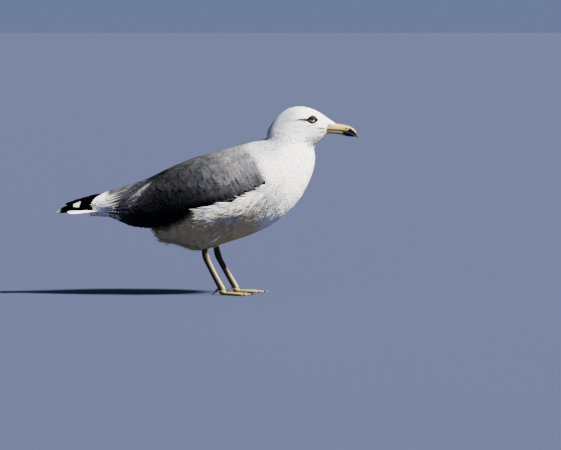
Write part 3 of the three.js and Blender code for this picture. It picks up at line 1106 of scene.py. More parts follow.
def body_feathers(name, roots, length, ratio, sink, lift, splay, swell=8.0, crown=0.03, point=0.7,
                  shade=0.05):
    """One coat piece of soft feathers that follow the body, with a length for each root in millimetres."""
    count = len(roots)
    normals = settle(roots)[1]
    bend = swell * waves(roots, 34) + dice.normal(0, splay, count)
    headings = laid_along(lie_of_body(roots), normals, bend)
    lengths = length * MM * spread_of(count, 0.75, 1.25)
    laid = lay_feathers(
        roots, headings, lengths, lengths * ratio, lengths * sink, lengths * lift * spread_of(count, 0.2, 1),
        SMALL, crown=crown, point=point, curl=dice.normal(0, 2.5 * splay, count),
    )
    size = laid["points"].shape[1]
    own = markings(roots) * (1 - shade * dice.random(count) - shade * (1 + waves(roots, 13, 2)))[:, None]
    return feather_piece(name, laid, np.repeat(own[:, None], size, axis=1), SOFT_FINISH)


def on_the_face(points):
    """True where neither the root nor the tip of a small feather touches the bare skin round the eye."""
    tips = points + lie_of_body(points) * 2.6 * MM
    return (round_the_eye(points) > 1.0) & (round_the_eye(tips) > 1.0)


head_roots = open_roots(90000, 1.0 * MM, [HEAD], on_the_face)
head_length = 2.4 + 3.2 * smooth(-head_roots[:, 0], -215 * MM, -150 * MM)
body_feathers("head_feathers", head_roots, head_length, 0.36, 0.16, 0.06, 8, shade=0.03)

# %% [markdown]
# ## Neck, breast and belly
# White feathers grow longer down the body and looser towards the belly, where single ones stand out.
# They also cover the bend of the folded wing, so the grey saddle has a soft white edge. One coat for the
# whole body would be simpler, but neck, breast and belly differ in length and in looseness.


# %% White body feathers
def white_places(points):
    """True where the plumage is white."""
    return grey_share(points) < 0.5


REST = [NECK, TRUNK, MANTLE, WING_LEFT, WING_RIGHT]
NECK_BASE = (100 * MM, 200 * MM)


def on_the_neck(points):
    """True ahead of and above the place where the neck rises from the body."""
    return (points[:, 0] > NECK_BASE[0]) & (points[:, 2] > NECK_BASE[1])


neck_roots = open_roots(110000, 1.3 * MM, REST, lambda p: white_places(p) & on_the_neck(p))
neck_length = 6.0 + 3.5 * smooth(-neck_roots[:, 2], -290 * MM, -220 * MM)
body_feathers("neck_feathers", neck_roots, neck_length, 0.28, 0.12, 0.05, 8)


def below_the_neck(points):
    """True on the white of the body below and behind the neck."""
    return white_places(points) & ~on_the_neck(points)


body_roots = open_roots(220000, 1.55 * MM, REST + [THIGH_LEFT, THIGH_RIGHT], below_the_neck)
front = body_roots[:, 0] > 55 * MM
breast_roots, belly_roots = body_roots[front], body_roots[~front]
body_feathers("breast_feathers", breast_roots, np.full(len(breast_roots), 11.5), 0.25, 0.11, 0.07, 10,
              swell=12.0, shade=0.08)
belly_length = 12.0 + 3.0 * smooth(-belly_roots[:, 0], 60 * MM, 160 * MM)
body_feathers("belly_feathers", belly_roots, belly_length, 0.20, 0.10, 0.09, 12, swell=14.0, shade=0.15)

# %% [markdown]
# ## Flank plumes
# The longest soft feathers of the body grow on the flank. They curl up over the lower edge of the folded
# wing in waves, each lifted a little off the next. Laid on the form they would vanish under the wing, so
# they walk over a ground of their own, which bulges out as a ruffled flank does.

# %% The puffed flank
# Lengths along the bird, and how far out from its middle the flank bulges there.
BANK = MM * np.array([
    (-70, 58), (-52, 65), (-38, 70), (-20, 72.5), (0, 76), (60, 74.5), (80, 70.5), (100, 66), (130, 55),
])


def bank_out(x, z, side):
    """How far from the middle of the body the puffed flank stands out, in metres."""
    seen = np.array([abs(place[1]) for place in onto_side(np.stack([x, z], axis=1), side)])
    below = np.interp(x, *WING_LOW.T) - z
    puffed = np.interp(x, *BANK.T) - 15 * MM * np.clip(below / (38 * MM), 0, 1.4) ** 5
    return np.maximum(seen + 0.2 * MM, puffed)


def flank_ground(points):
    """Places and normals on the puffed flank, which bulges out over the wing's lower edge."""
    places, normals = np.empty_like(points), np.empty_like(points)
    for side in (1, -1):
        here = points[:, 1] * side > 0
        x, z = points[here, 0], points[here, 2]
        out = bank_out(x, z, side)
        slope_x = np.clip((bank_out(x + MM, z, side) - out) / MM, -0.7, 0.7)
        slope_z = np.clip((bank_out(x, z + MM, side) - out) / MM, -0.7, 0.7)
        places[here] = np.stack([x, side * out, z], axis=1)
        normals[here] = unit(np.stack([-slope_x, np.full(len(x), float(side)), -slope_z], axis=1))
    return places, normals


def on_the_flank(points):
    """True where the long plumes of the flank are rooted."""
    x, _, z = points.T / MM
    below = under_the_wing(points)
    low = np.interp(x, [-6, 16, 40, 100, 150], [141, 137, 128, 135, 160])
    outside = np.abs(points[:, 1]) > 30 * MM
    return (x > -6) & (x < 146) & (below > 2) & (below < 38) & (z > low) & outside


print("flank out from the middle, in mm:", round(bank_out(np.array([0.06]), np.array([0.15]), -1)[0] / MM, 1))


# %% Plumes on the flank and along the wing
def plumes(name, roots, headings, length, width, sink, lift, curl, tone=0.0, shade=0.14, blur=0.0,
           ground=settle):
    """One coat piece of long soft feathers with lengths, widths and heights in millimetres."""
    count = len(roots)
    lengths = length * MM * spread_of(count, 0.75, 1.2)
    laid = lay_feathers(
        roots, headings, lengths, width * MM * spread_of(count, 0.7, 1.2), np.full(count, sink * MM),
        lift * MM * spread_of(count, 0.3, 1.1), BROAD, columns=5, crown=0.04, widest=0.40, point=1.0,
        curl=dice.normal(0, curl, count), ground=ground,
    )
    size = laid["points"].shape[1]
    own = markings(roots + dice.normal(0, 1, roots.shape) * blur * MM)
    own = own + (WHITE - own) * tone
    own = own * (1 - 0.5 * shade * (1 + waves(roots, 11, 2)))[:, None]
    # Each plume darker towards its root: partly the grey base of a real feather, partly painted shade where
    # the others cover it.
    root_grey_and_shade = 1 - 0.25 * smooth(0.5 - laid["station"], 0, 0.5)[..., None]
    colours = np.repeat((own * spread_of(count, 1 - shade, 1.0)[:, None])[:, None], size, axis=1) * root_grey_and_shade
    return feather_piece(name, laid, colours, SOFT_FINISH)


flank_roots = scatter(90000, 2.9 * MM, REST, on_the_flank)
flank_normals = flank_ground(flank_roots)[1]
flank_slope = np.interp(flank_roots[:, 0] / MM, [-6, 16, 60, 110, 146], [0, 9, 20, 40, 54])
flank_slope = flank_slope - 6 * smooth(-under_the_wing(flank_roots), -14, 0) + 13 * waves(flank_roots, 30)
flank_lie = laid_along(sloping(flank_slope), flank_normals, dice.normal(0, 8, len(flank_roots)))
plumes("flank_plumes", flank_roots, flank_lie, 25.0, 2.5, 0.3, 1.6, 26.0, 0.5, 0.46, ground=flank_ground)

edge_x = np.repeat(np.linspace(98, -3, 32), 2) + dice.normal(0, 1.5, 64)
edge_x = edge_x[np.abs(edge_x - 54) > 4]
for side, name in SIDES:
    drop = dice.uniform(2, 11, len(edge_x))
    rooted = onto_side(np.stack([edge_x * MM, np.interp(edge_x * MM, *WING_LOW.T) - drop * MM], axis=1), side)
    normals = flank_ground(rooted)[1]
    slope = np.interp(edge_x, [-12, 10, 60, 98], [2, 8, 13, 36])
    heading = laid_along(sloping(slope), normals, dice.normal(0, 7, len(edge_x)))
    plumes("edge_plumes_" + name, rooted, heading, 24.0, 3.0, -0.2, 2.0, 20.0, 0.9, 0.3, ground=flank_ground)

# %% [markdown]
# ## Loose ends of the coat
# No bird's outline is a clean line. Behind the thighs the belly ends in a ragged step, a few loose strands
# hang at the near thigh, and short feathers stand out at the chin. They could be drawn into the form as
# spikes, but single feathers with a high lift look right from every side.


# %% Ragged step, strands, chin and tail base
def loose(name, roots, length, width, lift, splay, tone):
    """Single feathers that stand out from the coat."""
    heading = laid_along(lie_of_body(roots), settle(roots)[1], dice.normal(0, splay, len(roots)))
    return plumes(name, roots, heading, length, width, 0.2, lift, 20.0, tone)


def on_the_step(points):
    """True on the belly behind the thighs, where the surface faces down."""
    x, _, z = points.T / MM
    low = (x < -2) & (x > -96) & (z < 124 + 0.12 * (x + 96))
    return low & (settle(points)[1][:, 2] < -0.82 + 0.8 * smooth(-x, 66, 84))


step = scatter(40000, 3.2 * MM, [TRUNK], on_the_step)
rear_step = step[:, 0] < -62 * MM
loose("step_feathers", step[rear_step], 15.0, 1.9, 9.0, 22, 0.0)
loose("belly_fringe", step[~rear_step], 13.0, 1.3, 6.0, 24, 0.0)
strand = dice.random(6)
strand_places = np.stack([20 + 9 * strand, 106 + 6 * strand + dice.normal(0, 1.5, 6)], axis=1) * MM
strand_roots = onto_side(strand_places, -1)
strand_lie = on_surface(sloping(dice.normal(52, 5, 6)), settle(strand_roots)[1])
plumes("thigh_strands", strand_roots, strand_lie, 28.0, 1.5, -0.8, 1.6, 12.0, 0.9, 0.2)
chin = scatter(20000, 1.7 * MM, [HEAD, NECK], lambda p: (
    (p[:, 0] > 188 * MM) & (p[:, 0] < 216 * MM) & (p[:, 2] < 296 * MM) & (p[:, 2] > 276 * MM)
))
chin_lie = laid_along(lie_of_body(chin), settle(chin)[1], dice.normal(-12, 22, len(chin)))
plumes("chin_feathers", chin, chin_lie, 8.0, 1.4, 0.2, 3.6, 24.0, 0.0, 0.36)
lobe = scatter(40000, 3.2 * MM, [TRUNK], lambda p: (p[:, 0] < -150 * MM) & (p[:, 2] < 158 * MM))
loose("tail_base_feathers", lobe, 24.0, 6.5, 1.2, 8, 1.0)

# %% [markdown]
# ## The folded wing
# A folded wing shows its feathers in steps. Large coverts hang along the lower edge, smaller ones cover
# their roots, and the long shoulder feathers lie over them all, ending in a soft step half way down the
# wing. The steps could be painted, but only real edges cast the thin shadows that show where a row ends.
# Each row is rooted by looking at the wing from the side.


# %% Rows of coverts
def wing_tone(points, laid, light, fringe):
    """Grey by place, a little uneven from feather to feather, with a paler edge round each tip."""
    count, size = points.shape[:2]
    tone = grey_tone(points.reshape(-1, 3)).reshape(count, size, 3)
    mottle = 1 + 0.26 * waves(points[:, 0], 44) + 0.16 * waves(points[:, 0], 19, 3)
    tone = tone * (light * mottle * spread_of(count, 0.94, 1.06))[:, None, None]
    fleck = np.clip(waves(points[:, 0], 21, 5), 0, 1) * smooth(points[:, 0, 0], -20 * MM, 50 * MM)
    tone = tone * (1 + fleck[:, None, None] * np.array([0.14, 0.05, -0.09]))
    edge = smooth(laid["station"] + 0.25 * np.abs(laid["across"]), 0.75, 1.1)[..., None]
    tone = tone * (1 + fringe * edge)
    white = 1 - smooth(shoulder_line(points.reshape(-1, 3)), -15 * MM, 17 * MM).reshape(count, size, 1)
    return tone + (WHITE * 0.95 - tone) * white


STEPPED = np.array([0.0, 0.2, 0.4, 0.58, 0.74, 0.87, 0.95, 1.0])


def covert_row(name, side, places, slopes, lengths, widths, sink, lift, light, fringe, splay=3.0, point=0.0):
    """One coat piece: a row of broad feathers on one wing, from side-view roots in metres."""
    roots = onto_side(places, side)
    count = len(roots)
    normals = settle(roots)[1]
    headings = laid_along(sloping(slopes), normals, dice.normal(0, splay, count))
    lengths = lengths * MM * spread_of(count, 0.88, 1.12)
    laid = lay_feathers(
        roots, headings, lengths, widths * MM * spread_of(count, 0.9, 1.1), np.full(count, sink * MM),
        lift * MM * spread_of(count, 0.6, 1.2), STEPPED, columns=7, crown=0.035, widest=0.62,
        point=point, snug=True,
    )
    colours = wing_tone(laid["points"], laid, light, fringe)
    return feather_piece(name, laid, colours, COVERT_FINISH)


def along_edge(start, stop, step, rise):
    """Side-view roots along the wing's lower edge, so far above it, in millimetres."""
    x = np.arange(start, stop, step) * MM
    x = x + dice.normal(0, 0.6 * MM, len(x))
    return np.stack([x, np.interp(x, *WING_LOW.T) + rise * MM], axis=1)


for side, name in SIDES:
    low = along_edge(-128, 112, 7.5, 33)
    slope = np.interp(low[:, 0] / MM, [-130, -40, 60, 112], [50, 56, 44, 34])
    covert_row("greater_coverts_" + name, side, low, slope, 44.0, 15.0, 0.3, 0.3, 1.0, 0.25)
    low = along_edge(-104, 104, 6.0, 45)
    slope = np.interp(low[:, 0] / MM, [-104, -40, 60, 112], [54, 60, 46, 34])
    covert_row("middle_coverts_" + name, side, low, slope, 27.0, 12.0, 0.5, 0.4, 1.0, 0.25)

# %% [markdown]
# ## Small coverts and the back
# Above the rows, the wing and the back are covered by rounded grey feathers that overlap like scales.
# There are too many to root by hand in rows, so they are scattered like the white ones, and only their lie
# changes: the small coverts follow the wing, and the feathers of the back droop towards its side.


# %% Lesser coverts and mantle
def on_the_saddle(points):
    """True where the plumage is grey and in front of the pale rim."""
    return ~white_places(points) & (behind_the_rim(points) < -3)


def grey_coat(name, roots, length, width, sink, lift, lie, splay, light, fringe):
    """One coat piece of rounded grey feathers. Sizes are in millimetres."""
    count = len(roots)
    normals = settle(roots)[1]
    headings = laid_along(lie(roots), normals, dice.normal(0, splay, count))
    laid = lay_feathers(
        roots, headings, length * MM * spread_of(count, 0.85, 1.15), width * MM * spread_of(count, 0.9, 1.1),
        np.full(count, sink * MM), lift * MM * spread_of(count, 0.4, 1.2), BROAD, columns=5, crown=0.04,
        point=0.05, snug=True,
    )
    colours = wing_tone(laid["points"], laid, light, fringe)
    return feather_piece(name, laid, colours, COVERT_FINISH)


SCAPULAR_EDGE = MM * np.array([
    (-140, 176), (-128, 186), (-96, 197), (-62, 196), (-31, 198), (6, 206), (21, 212), (50, 210), (71, 213),
    (122, 218),
])


def over_scapular_edge(points):
    """How far each point is above the lower edge of the shoulder feathers, in metres."""
    return points[:, 2] - np.interp(points[:, 0], *SCAPULAR_EDGE.T)


lesser = open_roots(50000, 3.3 * MM, REST, on_the_saddle)
height = over_scapular_edge(lesser)
rear = lesser[:, 0] < -98 * MM
over_the_rows = down_the_wing(lesser) < np.where(rear, 0.93, 0.80)
below = (height < 8 * MM) & ((height > -34 * MM) | rear) & over_the_rows
grey_coat("lesser_coverts", lesser[below], 20.0, 9.0, 0.8, 0.25, lie_of_wing, 7, 1.0, 0.16)


def lie_of_shoulder(points):
    """Shoulder feathers run back along the body and droop towards their lower edge."""
    return sloping(24 + 34 * smooth(over_scapular_edge(points), 45 * MM, 0))


above = (height > 3 * MM) | (np.abs(lesser[:, 1]) < 16 * MM)
grey_coat("mantle_feathers", lesser[above], 24.0, 10.5, 0.6, 0.25, lie_of_shoulder, 8, 1.0, 0.12)

# %% [markdown]
# ## The step of the shoulder feathers
# The longest feathers of the shoulder end in an uneven step that crosses the wing. A single tidy row would
# look like roof tiles. So two loose rows are mixed, with a wide spread of directions and widths, and their
# tips are lifted a millimetre to catch the light.

# %% Long shoulder feathers
SHOULDER_COUNT = 36

for side, name in SIDES:
    x = np.repeat(np.arange(-86, 100, 10.5), 2) + dice.normal(0, 2.5, SHOULDER_COUNT)
    z = np.interp(x * MM, *SCAPULAR_EDGE.T) / MM + dice.uniform(12, 21, SHOULDER_COUNT)
    covert_row(
        "shoulder_feathers_" + name, side, np.stack([x, z], axis=1) * MM,
        np.interp(x, [-84, 0, 96], [40, 54, 50]), 25.0, dice.uniform(12, 18, SHOULDER_COUNT),
        0.2, 1.0, 1.12, 0.70, splay=10, point=0.35,
    )

# %% [markdown]
# ## Fluff over the shoulder
# The white of the neck doesn't stop at a line: its last feathers lie loose over the first grey ones. A
# painted blend would look sprayed on, so short white feathers are laid across the border, each coloured
# by a place a little way off.


# %% White fluff over the shoulder
def on_the_border(points):
    """True in the band where the white of the neck meets the grey of the shoulder."""
    behind = shoulder_line(points) / MM
    return (behind > -16) & (behind < 4) & (points[:, 2] > 204 * MM)


fluff = open_roots(60000, 2.6 * MM, REST, on_the_border)
fluff_normals = settle(fluff)[1]
fluff_lie = laid_along(sloping(dice.normal(34, 9, len(fluff))), fluff_normals, 10 * waves(fluff, 26))
plumes("shoulder_fluff", fluff, fluff_lie, 11.0, 3.0, 0.6, 0.3, 18.0, 0.0, 0.06, blur=2.0)

# %% [markdown]
# ## Long inner feathers of the wing
# Behind the coverts lie the long inner wing feathers, grey with broad white tips, fanned like cards. They
# could be one sheet with painted edges, but the fan shows its thickness from behind. So each is a long
# leaf laid snugly on the form, a little higher than the one below it.

# %% Inner wing feathers with white tips
INNER = np.array([
    # root x, z, tip x, z, width, height over the wing
    (-143, 150, -200, 153, 18, 0.2),
    (-139, 161, -216, 159, 18, 0.6),
    (-131, 172, -219, 165, 18, 1.0),
    (-123, 183, -212, 171.5, 17, 1.4),
    (-115, 193, -202, 178, 16, 1.8),
    (-108, 202, -190, 185, 14, 2.2),
])
INNER_GREY = np.array([0.019, 0.020, 0.026])
LONG = np.linspace(0, 1, 22)


def white_tip(points, laid):
    """Grey at the root and white at the tip, paler along both edges. The grey runs out in streaks."""
    count, size = points.shape[:2]
    grey = np.broadcast_to(INNER_GREY, (count, size, 3))
    across = laid["across"]
    order = np.arange(count)[:, None]
    ragged = 9 * np.sin(8 * across + order) + 6 * np.sin(19 * across + 2 * order)
    white = smooth(-points[..., 0] / MM + ragged, 166, 194)
    grey = grey * (1.4 + 0.6 * np.sin(14 * across + 3 * order))[..., None]
    edge = 0.3 * smooth(np.abs(across), 0.80, 0.95) * smooth(laid["station"], 0.3, 0.6)
    white = np.clip(white + edge, 0, 1)[..., None]
    crease = smooth(-np.abs(np.abs(across) - 0.72), -0.10, -0.02)
    shadow = 1 - 0.8 * crease * smooth(-laid["station"], -0.88, -0.6)
    return (grey + (WHITE * 0.95 - grey) * white) * shadow[..., None]


for side, name in SIDES:
    x, z, tip_x, tip_z, width, lift = INNER.T
    roots = onto_side(INNER[:, :2] * MM, side)
    slope = np.degrees(np.arctan2(z - tip_z, x - tip_x))
    headings = on_surface(sloping(slope), settle(roots)[1])
    laid = lay_feathers(
        roots, headings, np.hypot(tip_x - x, z - tip_z) * MM, width * MM, 0 * lift, lift * MM, LONG,
        columns=15, crown=0.05, widest=0.72, point=0.1, snug=True,
    )
    colours = white_tip(laid["points"], laid)
    feather_piece("inner_wing_feathers_" + name, laid, colours, FLIGHT_FINISH)

# %% [markdown]
# ## The pale rear edge of the shoulder
# Where the shoulder feathers end at the rear, a narrow pale edge runs down the wing in a long curve. Many
# short tips would break it up, so two long curved leaves lie one over the other, pale on their outer side
# only.

# %% Pale rear edge of the shoulder feathers
RIM_FEATHERS = np.array([
    # shift of the root in x and z, length, width, sink and lift in millimetres, paleness
    (13.0, 2.0, 76.0, 13.0, 0.0, 1.2, 0.22),
    (5.0, 2.0, 84.0, 15.0, -1.2, 1.8, 0.9),
])
RIM_GREY = np.array([0.11, 0.11, 0.12])

for side, name in SIDES:
    *_, length, width, sink, lift, paleness = RIM_FEATHERS.T
    roots = onto_side((RIM[-1] / MM + RIM_FEATHERS[:, :2]) * MM, side)
    headings = on_surface(sloping(np.full(len(roots), 50.0)), settle(roots)[1])
    laid = lay_feathers(
        roots, headings, length * MM, width * MM, sink * MM, lift * MM, LONG,
        columns=11, crown=0.02, widest=0.35, point=0.3, snug=True, curl=7.0,
    )
    lengthways = smooth(laid["station"], 0.05, 0.2) * smooth(-laid["station"], -0.95, -0.35)
    strip = smooth(laid["across"] * side, 0.2, 0.75) * lengthways
    under = grey_tone(laid["points"].reshape(-1, 3)).reshape(laid["points"].shape)
    tone = under * 0.8 + RIM_GREY * (strip * paleness[:, None])[..., None]
    feather_piece("rim_feathers_" + name, laid, tone, COVERT_FINISH)

# %% [markdown]
# ## Free feathers
# The black ends of the wing and the tail stand free of the body, so they can't be laid on the form. Each
# one is a blade: a shaft line in space with a vane spread to both sides of it. A flat sheet would be
# lighter, but seen edge-on it would vanish. So the blade is closed, with a ridge along the shaft.


# %% Blades for the outer wing and the tail
def blade(spine, outward, low_half, high_half, thickness, columns=9):
    """One long closed feather: points, triangles, station and side. The vane is spread square to outward."""
    rows = len(spine)
    along = unit(np.gradient(spine, axis=0))
    sideways = unit(np.cross(outward, along))
    side = np.linspace(-1, 1, columns)
    half = np.where(side < 0, low_half[:, None], high_half[:, None]) * side
    layer = spine[:, None] + sideways[:, None] * half[..., None]
    rib = (1 - np.abs(side) ** 1.5) * 0.5
    rise = outward[:, None] * (thickness * (0.15 + rib))[None, :, None]
    points = np.concatenate([(layer + rise).reshape(-1, 3), (layer - rise).reshape(-1, 3)])
    faces = []
    shift = rows * columns
    for i in range(rows - 1):
        for j in range(columns - 1):
            a, b = i * columns + j, (i + 1) * columns + j
            faces += [(a, a + 1, b + 1), (a, b + 1, b)]
            faces += [(a + shift, b + 1 + shift, a + 1 + shift), (a + shift, b + shift, b + 1 + shift)]
    rim = [i * columns for i in range(rows)]
    rim += [(rows - 1) * columns + j for j in range(1, columns)]
    rim += [i * columns + columns - 1 for i in range(rows - 2, -1, -1)]
    rim += [j for j in range(columns - 2, 0, -1)]
    for a, b in zip(rim, rim[1:] + rim[:1]):
        faces += [(a, b, b + shift), (a, b + shift, a + shift)]
    station = np.tile(np.repeat(np.linspace(0, 1, rows), columns), 2)
    across = np.tile(side, 2 * rows)
    return points, np.array(faces), station, across


def turn_outward(piece):
    """Turns every face of a closed piece outward."""
    select_only(piece)
    bpy.ops.object.mode_set(mode="EDIT")
    bpy.ops.mesh.select_all(action="SELECT")
    bpy.ops.mesh.normals_make_consistent(inside=False)
    bpy.ops.object.mode_set(mode="OBJECT")


def blade_piece(name, blades, colour, finish):
    """Joins blades into one piece. Each blade has a strip of the colour map to itself."""
    points, faces, station, across = (np.array(part) for part in zip(*blades))
    count, size = station.shape
    faces = (faces + size * np.arange(count)[:, None, None]).reshape(-1, 3)
    strip = (np.arange(count)[:, None] + 0.5 * (np.arange(size) >= size // 2)).ravel()
    points, station, across = points.reshape(-1, 3), station.ravel(), across.ravel()
    piece = mesh_of(name, points, faces)
    turn_outward(piece)
    column = (strip + 0.25 + 0.225 * across) / count
    map_places = np.stack([column, 0.02 + 0.96 * station], axis=1)
    dress(piece, colour(points, across), map_places, across, station, finish)
    print(f"{name}: {count} feathers, {len(faces)} triangles")
    return piece


def curve_between(start, finish, sag, rows):
    """Side-view places from a start to a finish, bowed by a sag in millimetres at the middle."""
    t = np.linspace(0, 1, rows)[:, None]
    start, reach = np.array(start, float), np.subtract(finish, start)
    cross = unit(np.array([[-reach[1], reach[0]]]))
    return start + reach * t + cross * sag * 4 * t * (1 - t)


def vane_shape(rows, half, shoulder, blunt):
    """Half widths from root to tip: even, then closing from the shoulder on."""
    t = np.linspace(0, 1, rows)
    closing = np.clip((t - shoulder) / (1 - shoulder), 0, 1)
    opening = 0.55 + 0.45 * smooth(t, 0, 0.3)
    return np.maximum(half * opening * (1 - closing**blunt) ** (1 / 1.7), 0.04) * MM


print("half width of a vane, in mm:", (vane_shape(5, 8.0, 0.86, 2.4) / MM).round(1))

# %% [markdown]
# ## Black outer wing feathers
# The longest feathers of the wing are black, and folded they cross above the tail in a narrow point, each
# a little shorter than the one below it. A white window crosses the longest ones near their end. The
# solid could be kept as it is, but its edge is one smooth line, while real tips stand out one by one. So
# six blades are laid round the shape of the solid.

# %% Black outer wing feathers
OUTER = [
    # tip x, z, root z, half width below and above the shaft, in millimetres
    (-279.0, 150.6, 164, 3.2, 6.0),
    (-270.5, 157.0, 168, 4.0, 6.5),
    (-261.5, 166.5, 173, 5.0, 5.0),
    (-248.0, 172.0, 177, 5.5, 3.4),
    (-234.0, 176.2, 180, 5.5, 3.0),
    (-219.0, 180.4, 183, 5.5, 2.6),
]
OUTER_ROOT = -160.0
# Heights of the folded wing's upper edge, and half its width, each for lengths in millimetres.
FOLD_TOP = np.array([
    (-280, 150), (-270, 160), (-262, 171), (-231, 180), (-205, 186), (-184, 188), (-150, 190),
])
FOLD_HALF = np.array([(-280, 6.5), (-258, 11.0), (-232, 15.5), (-205, 18.5), (-190, 17.0), (-160, 11.0)])
RIDGE_HALF = 4.6
BLADE_ROWS = 84
WORN_PALE = np.array([0.30, 0.31, 0.34])


def fold_side(x, z):
    """How far the outside of the folded black feathers is from the bird's middle, in millimetres."""
    drop = np.clip((np.interp(x, *FOLD_TOP.T) - z) / 24.0, 0, 1)
    return RIDGE_HALF + (np.interp(x, *FOLD_HALF.T) - RIDGE_HALF) * np.sin(drop * math.pi / 2)


def black_blades(side):
    """The outer feathers of one wing, the longest first and deepest."""
    made = []
    for layer, (x, z, root_z, low_half, high_half) in enumerate(OUTER):
        along, up = curve_between((OUTER_ROOT, root_z), (x, z), -2.2, BLADE_ROWS).T
        depth = fold_side(along, up) - 2.6 + 0.45 * layer
        spine = np.stack([along, side * depth, up], axis=1) * MM
        above = fold_side(along, up + 3) - fold_side(along, up - 3)
        outward = unit(np.stack([0 * depth, np.full(BLADE_ROWS, side * 6.0), -above], axis=1))
        low = vane_shape(BLADE_ROWS, low_half, 0.80, 2.0)
        high = vane_shape(BLADE_ROWS, high_half, 0.72, 1.7)
        pair = (low, high) if side > 0 else (high, low)
        made.append(blade(spine, outward, *pair, 0.8 * MM))
    return made


def mirror_share(points):
    """The white window near the end of the longest black feathers, a strip with two slanted sides."""
    x, _, z = points.T / MM
    ends = smooth(x, -247, -245.6) * smooth(-x + 0.34 * (z - 171.5), 232.2, 233.6)
    lower_side = smooth(z + 0.14 * (x + 245.6), 161.6, 162.8)
    upper_side = smooth(0.37 * (x + 246.3) - z, -167.2, -165.8)
    return ends * lower_side * upper_side


def black_and_window(points, across):
    """Black, with the white window and a worn pale end, which run right across the vane."""
    colours = np.tile(BLACK, (len(points), 1))
    colours = blend(colours, WHITE * 0.8, mirror_share(points))
    worn = smooth(-points[:, 0] / MM + 0.25 * (points[:, 2] / MM - 150), 270.5, 273.5)
    return blend(colours, WORN_PALE, worn)


for side, name in SIDES:
    piece = blade_piece(
        "outer_wing_feathers_" + name, black_blades(side), black_and_window, FLIGHT_FINISH
    )
    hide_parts("primaries_" + name)

# %% [markdown]
# ## The tail
# Twelve white feathers are folded into a narrow flat fan. The middle pair lies on top, and each one
# outwards lies a little lower. A single slab would do from the side, but from behind the fan shows its
# steps, so it is built from the same blades as the wing.

# %% Tail feathers
TAIL_ROOT = -150.0
TAIL_PAIRS = 6
TAIL_ROWS = 30


def tail_blades():
    """Six pairs of white feathers, from the outermost and lowest to the middle ones on top."""
    made = []
    t = np.linspace(0, 1, TAIL_ROWS)
    half = vane_shape(TAIL_ROWS, 8.0, 0.86, 2.4)
    for pair in range(TAIL_PAIRS - 1, -1, -1):
        share = pair / (TAIL_PAIRS - 1)
        for side in (1, -1):
            tip_x = -259.0 + 5.5 * share**2
            root_y, tip_y = side * (1.5 + 5.0 * share), side * (3.5 + 21.0 * share)
            x = TAIL_ROOT + (tip_x - TAIL_ROOT) * t
            y = root_y + (tip_y - root_y) * t
            z = 162.5 - 8.6 * t - 2.4 * share * t - 1.3 * share + 0.2 * side
            spine = np.stack([x, y, z], axis=1) * MM
            outward = unit(np.tile([0.08, side * 0.10 * share, 1.0], (TAIL_ROWS, 1)))
            made.append(blade(spine, outward, half, half, 0.55 * MM, 7))
    return made


def tail_white(points, across):
    """White, with a trace of warm grey towards the shaft."""
    shaft = np.exp(-((across / 0.12) ** 2)) * 0.12
    return blend(np.tile(WHITE * 0.97, (len(points), 1)), WARM_WHITE * 0.8, shaft)


tail = blade_piece("tail_feathers", tail_blades(), tail_white, FLIGHT_FINISH)
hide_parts("tail")

# %% [markdown]
# ## The eyes
# A gull's eye is a pale ball with a black pupil. Pupil and iris could be painted on, but a painted edge
# is never quite round. So the ball is turned until its pole looks outward and a little ahead. Pupil and
# iris are then clean rings of faces with finishes of their own.

# %% Eyeballs
EYE_FACING = math.radians(78)
PUPIL_ANGLE = 27.0
IRIS_ANGLE = 56.0


def gloss(name, colour, roughness=0.08, coat=1.0):
    """A wet, clear-coated finish."""
    return principled(
        name, Base_Color=(*colour, 1), Roughness=roughness, Coat_Weight=coat, Coat_Roughness=0.03
    )


def iris_finish():
    """Pale yellow with fine darker flecks."""
    material, shader = gloss("iris", (0.50, 0.44, 0.14), 0.3)
    tree = material.node_tree
    ramp = add_ramp(tree, (0.35, (0.30, 0.24, 0.06, 1)), (0.6, (0.62, 0.56, 0.20, 1)))
    wire(
        tree,
        (noise(tree, own_places(tree), 1500.0), ramp.inputs["Fac"]),
        (ramp.outputs["Color"], shader.inputs["Base Color"]),
    )
    return material


def move_points(piece, points):
    """Puts the points of a piece's mesh at new places."""
    piece.data.vertices.foreach_set("co", points.astype(np.float32).ravel())
    piece.data.update()


IRIS = iris_finish()
PUPIL = gloss("pupil", (0.004, 0.004, 0.004))[0]
EYE_RIM = gloss("eye_rim", (0.02, 0.015, 0.012))[0]

for side, name in SIDES:
    deselect()
    bpy.ops.mesh.primitive_uv_sphere_add(segments=40, ring_count=28, radius=EYE_RADIUS)
    eye = bpy.context.object
    eye.name = "eyeball_" + name
    points = points_of(eye)
    angle = np.degrees(np.arccos(np.clip(points[:, 2] / EYE_RADIUS, -1, 1)))
    for material in (EYE_RIM, IRIS, PUPIL):
        eye.data.materials.append(material)
    for polygon in eye.data.polygons:
        middle = angle[list(polygon.vertices)].mean()
        polygon.material_index = 2 if middle < PUPIL_ANGLE else 1 if middle < IRIS_ANGLE else 0
    bulge = 1.0 + 0.06 * smooth(-angle, -50, 0)
    ahead = unit(np.array([math.cos(EYE_FACING), side * math.sin(EYE_FACING), 0.30]))
    sideways = unit(np.cross([0, 0, 1.0], ahead))
    upward = np.cross(ahead, sideways)
    facing = (points * bulge[:, None]) @ np.stack([sideways, upward, ahead])
    move_points(eye, facing + middle_of("eye_" + name))
    eye.data.shade_smooth()
    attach(eye, "root")
    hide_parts("eye_" + name)
print("iris across, in mm:", round(2 * EYE_RADIUS / MM * math.sin(math.radians(IRIS_ANGLE)), 1))

# %% [markdown]
# ## The eyelids
# The eye sits in a narrow ring of dark bare skin that cuts the circle to an almond. The ring could be cut
# from the skin of the head, but its clean inner edge needs more points than the head has. So each eye has
# a ring of its own, drawn out at both corners and bent to lie on the ball.

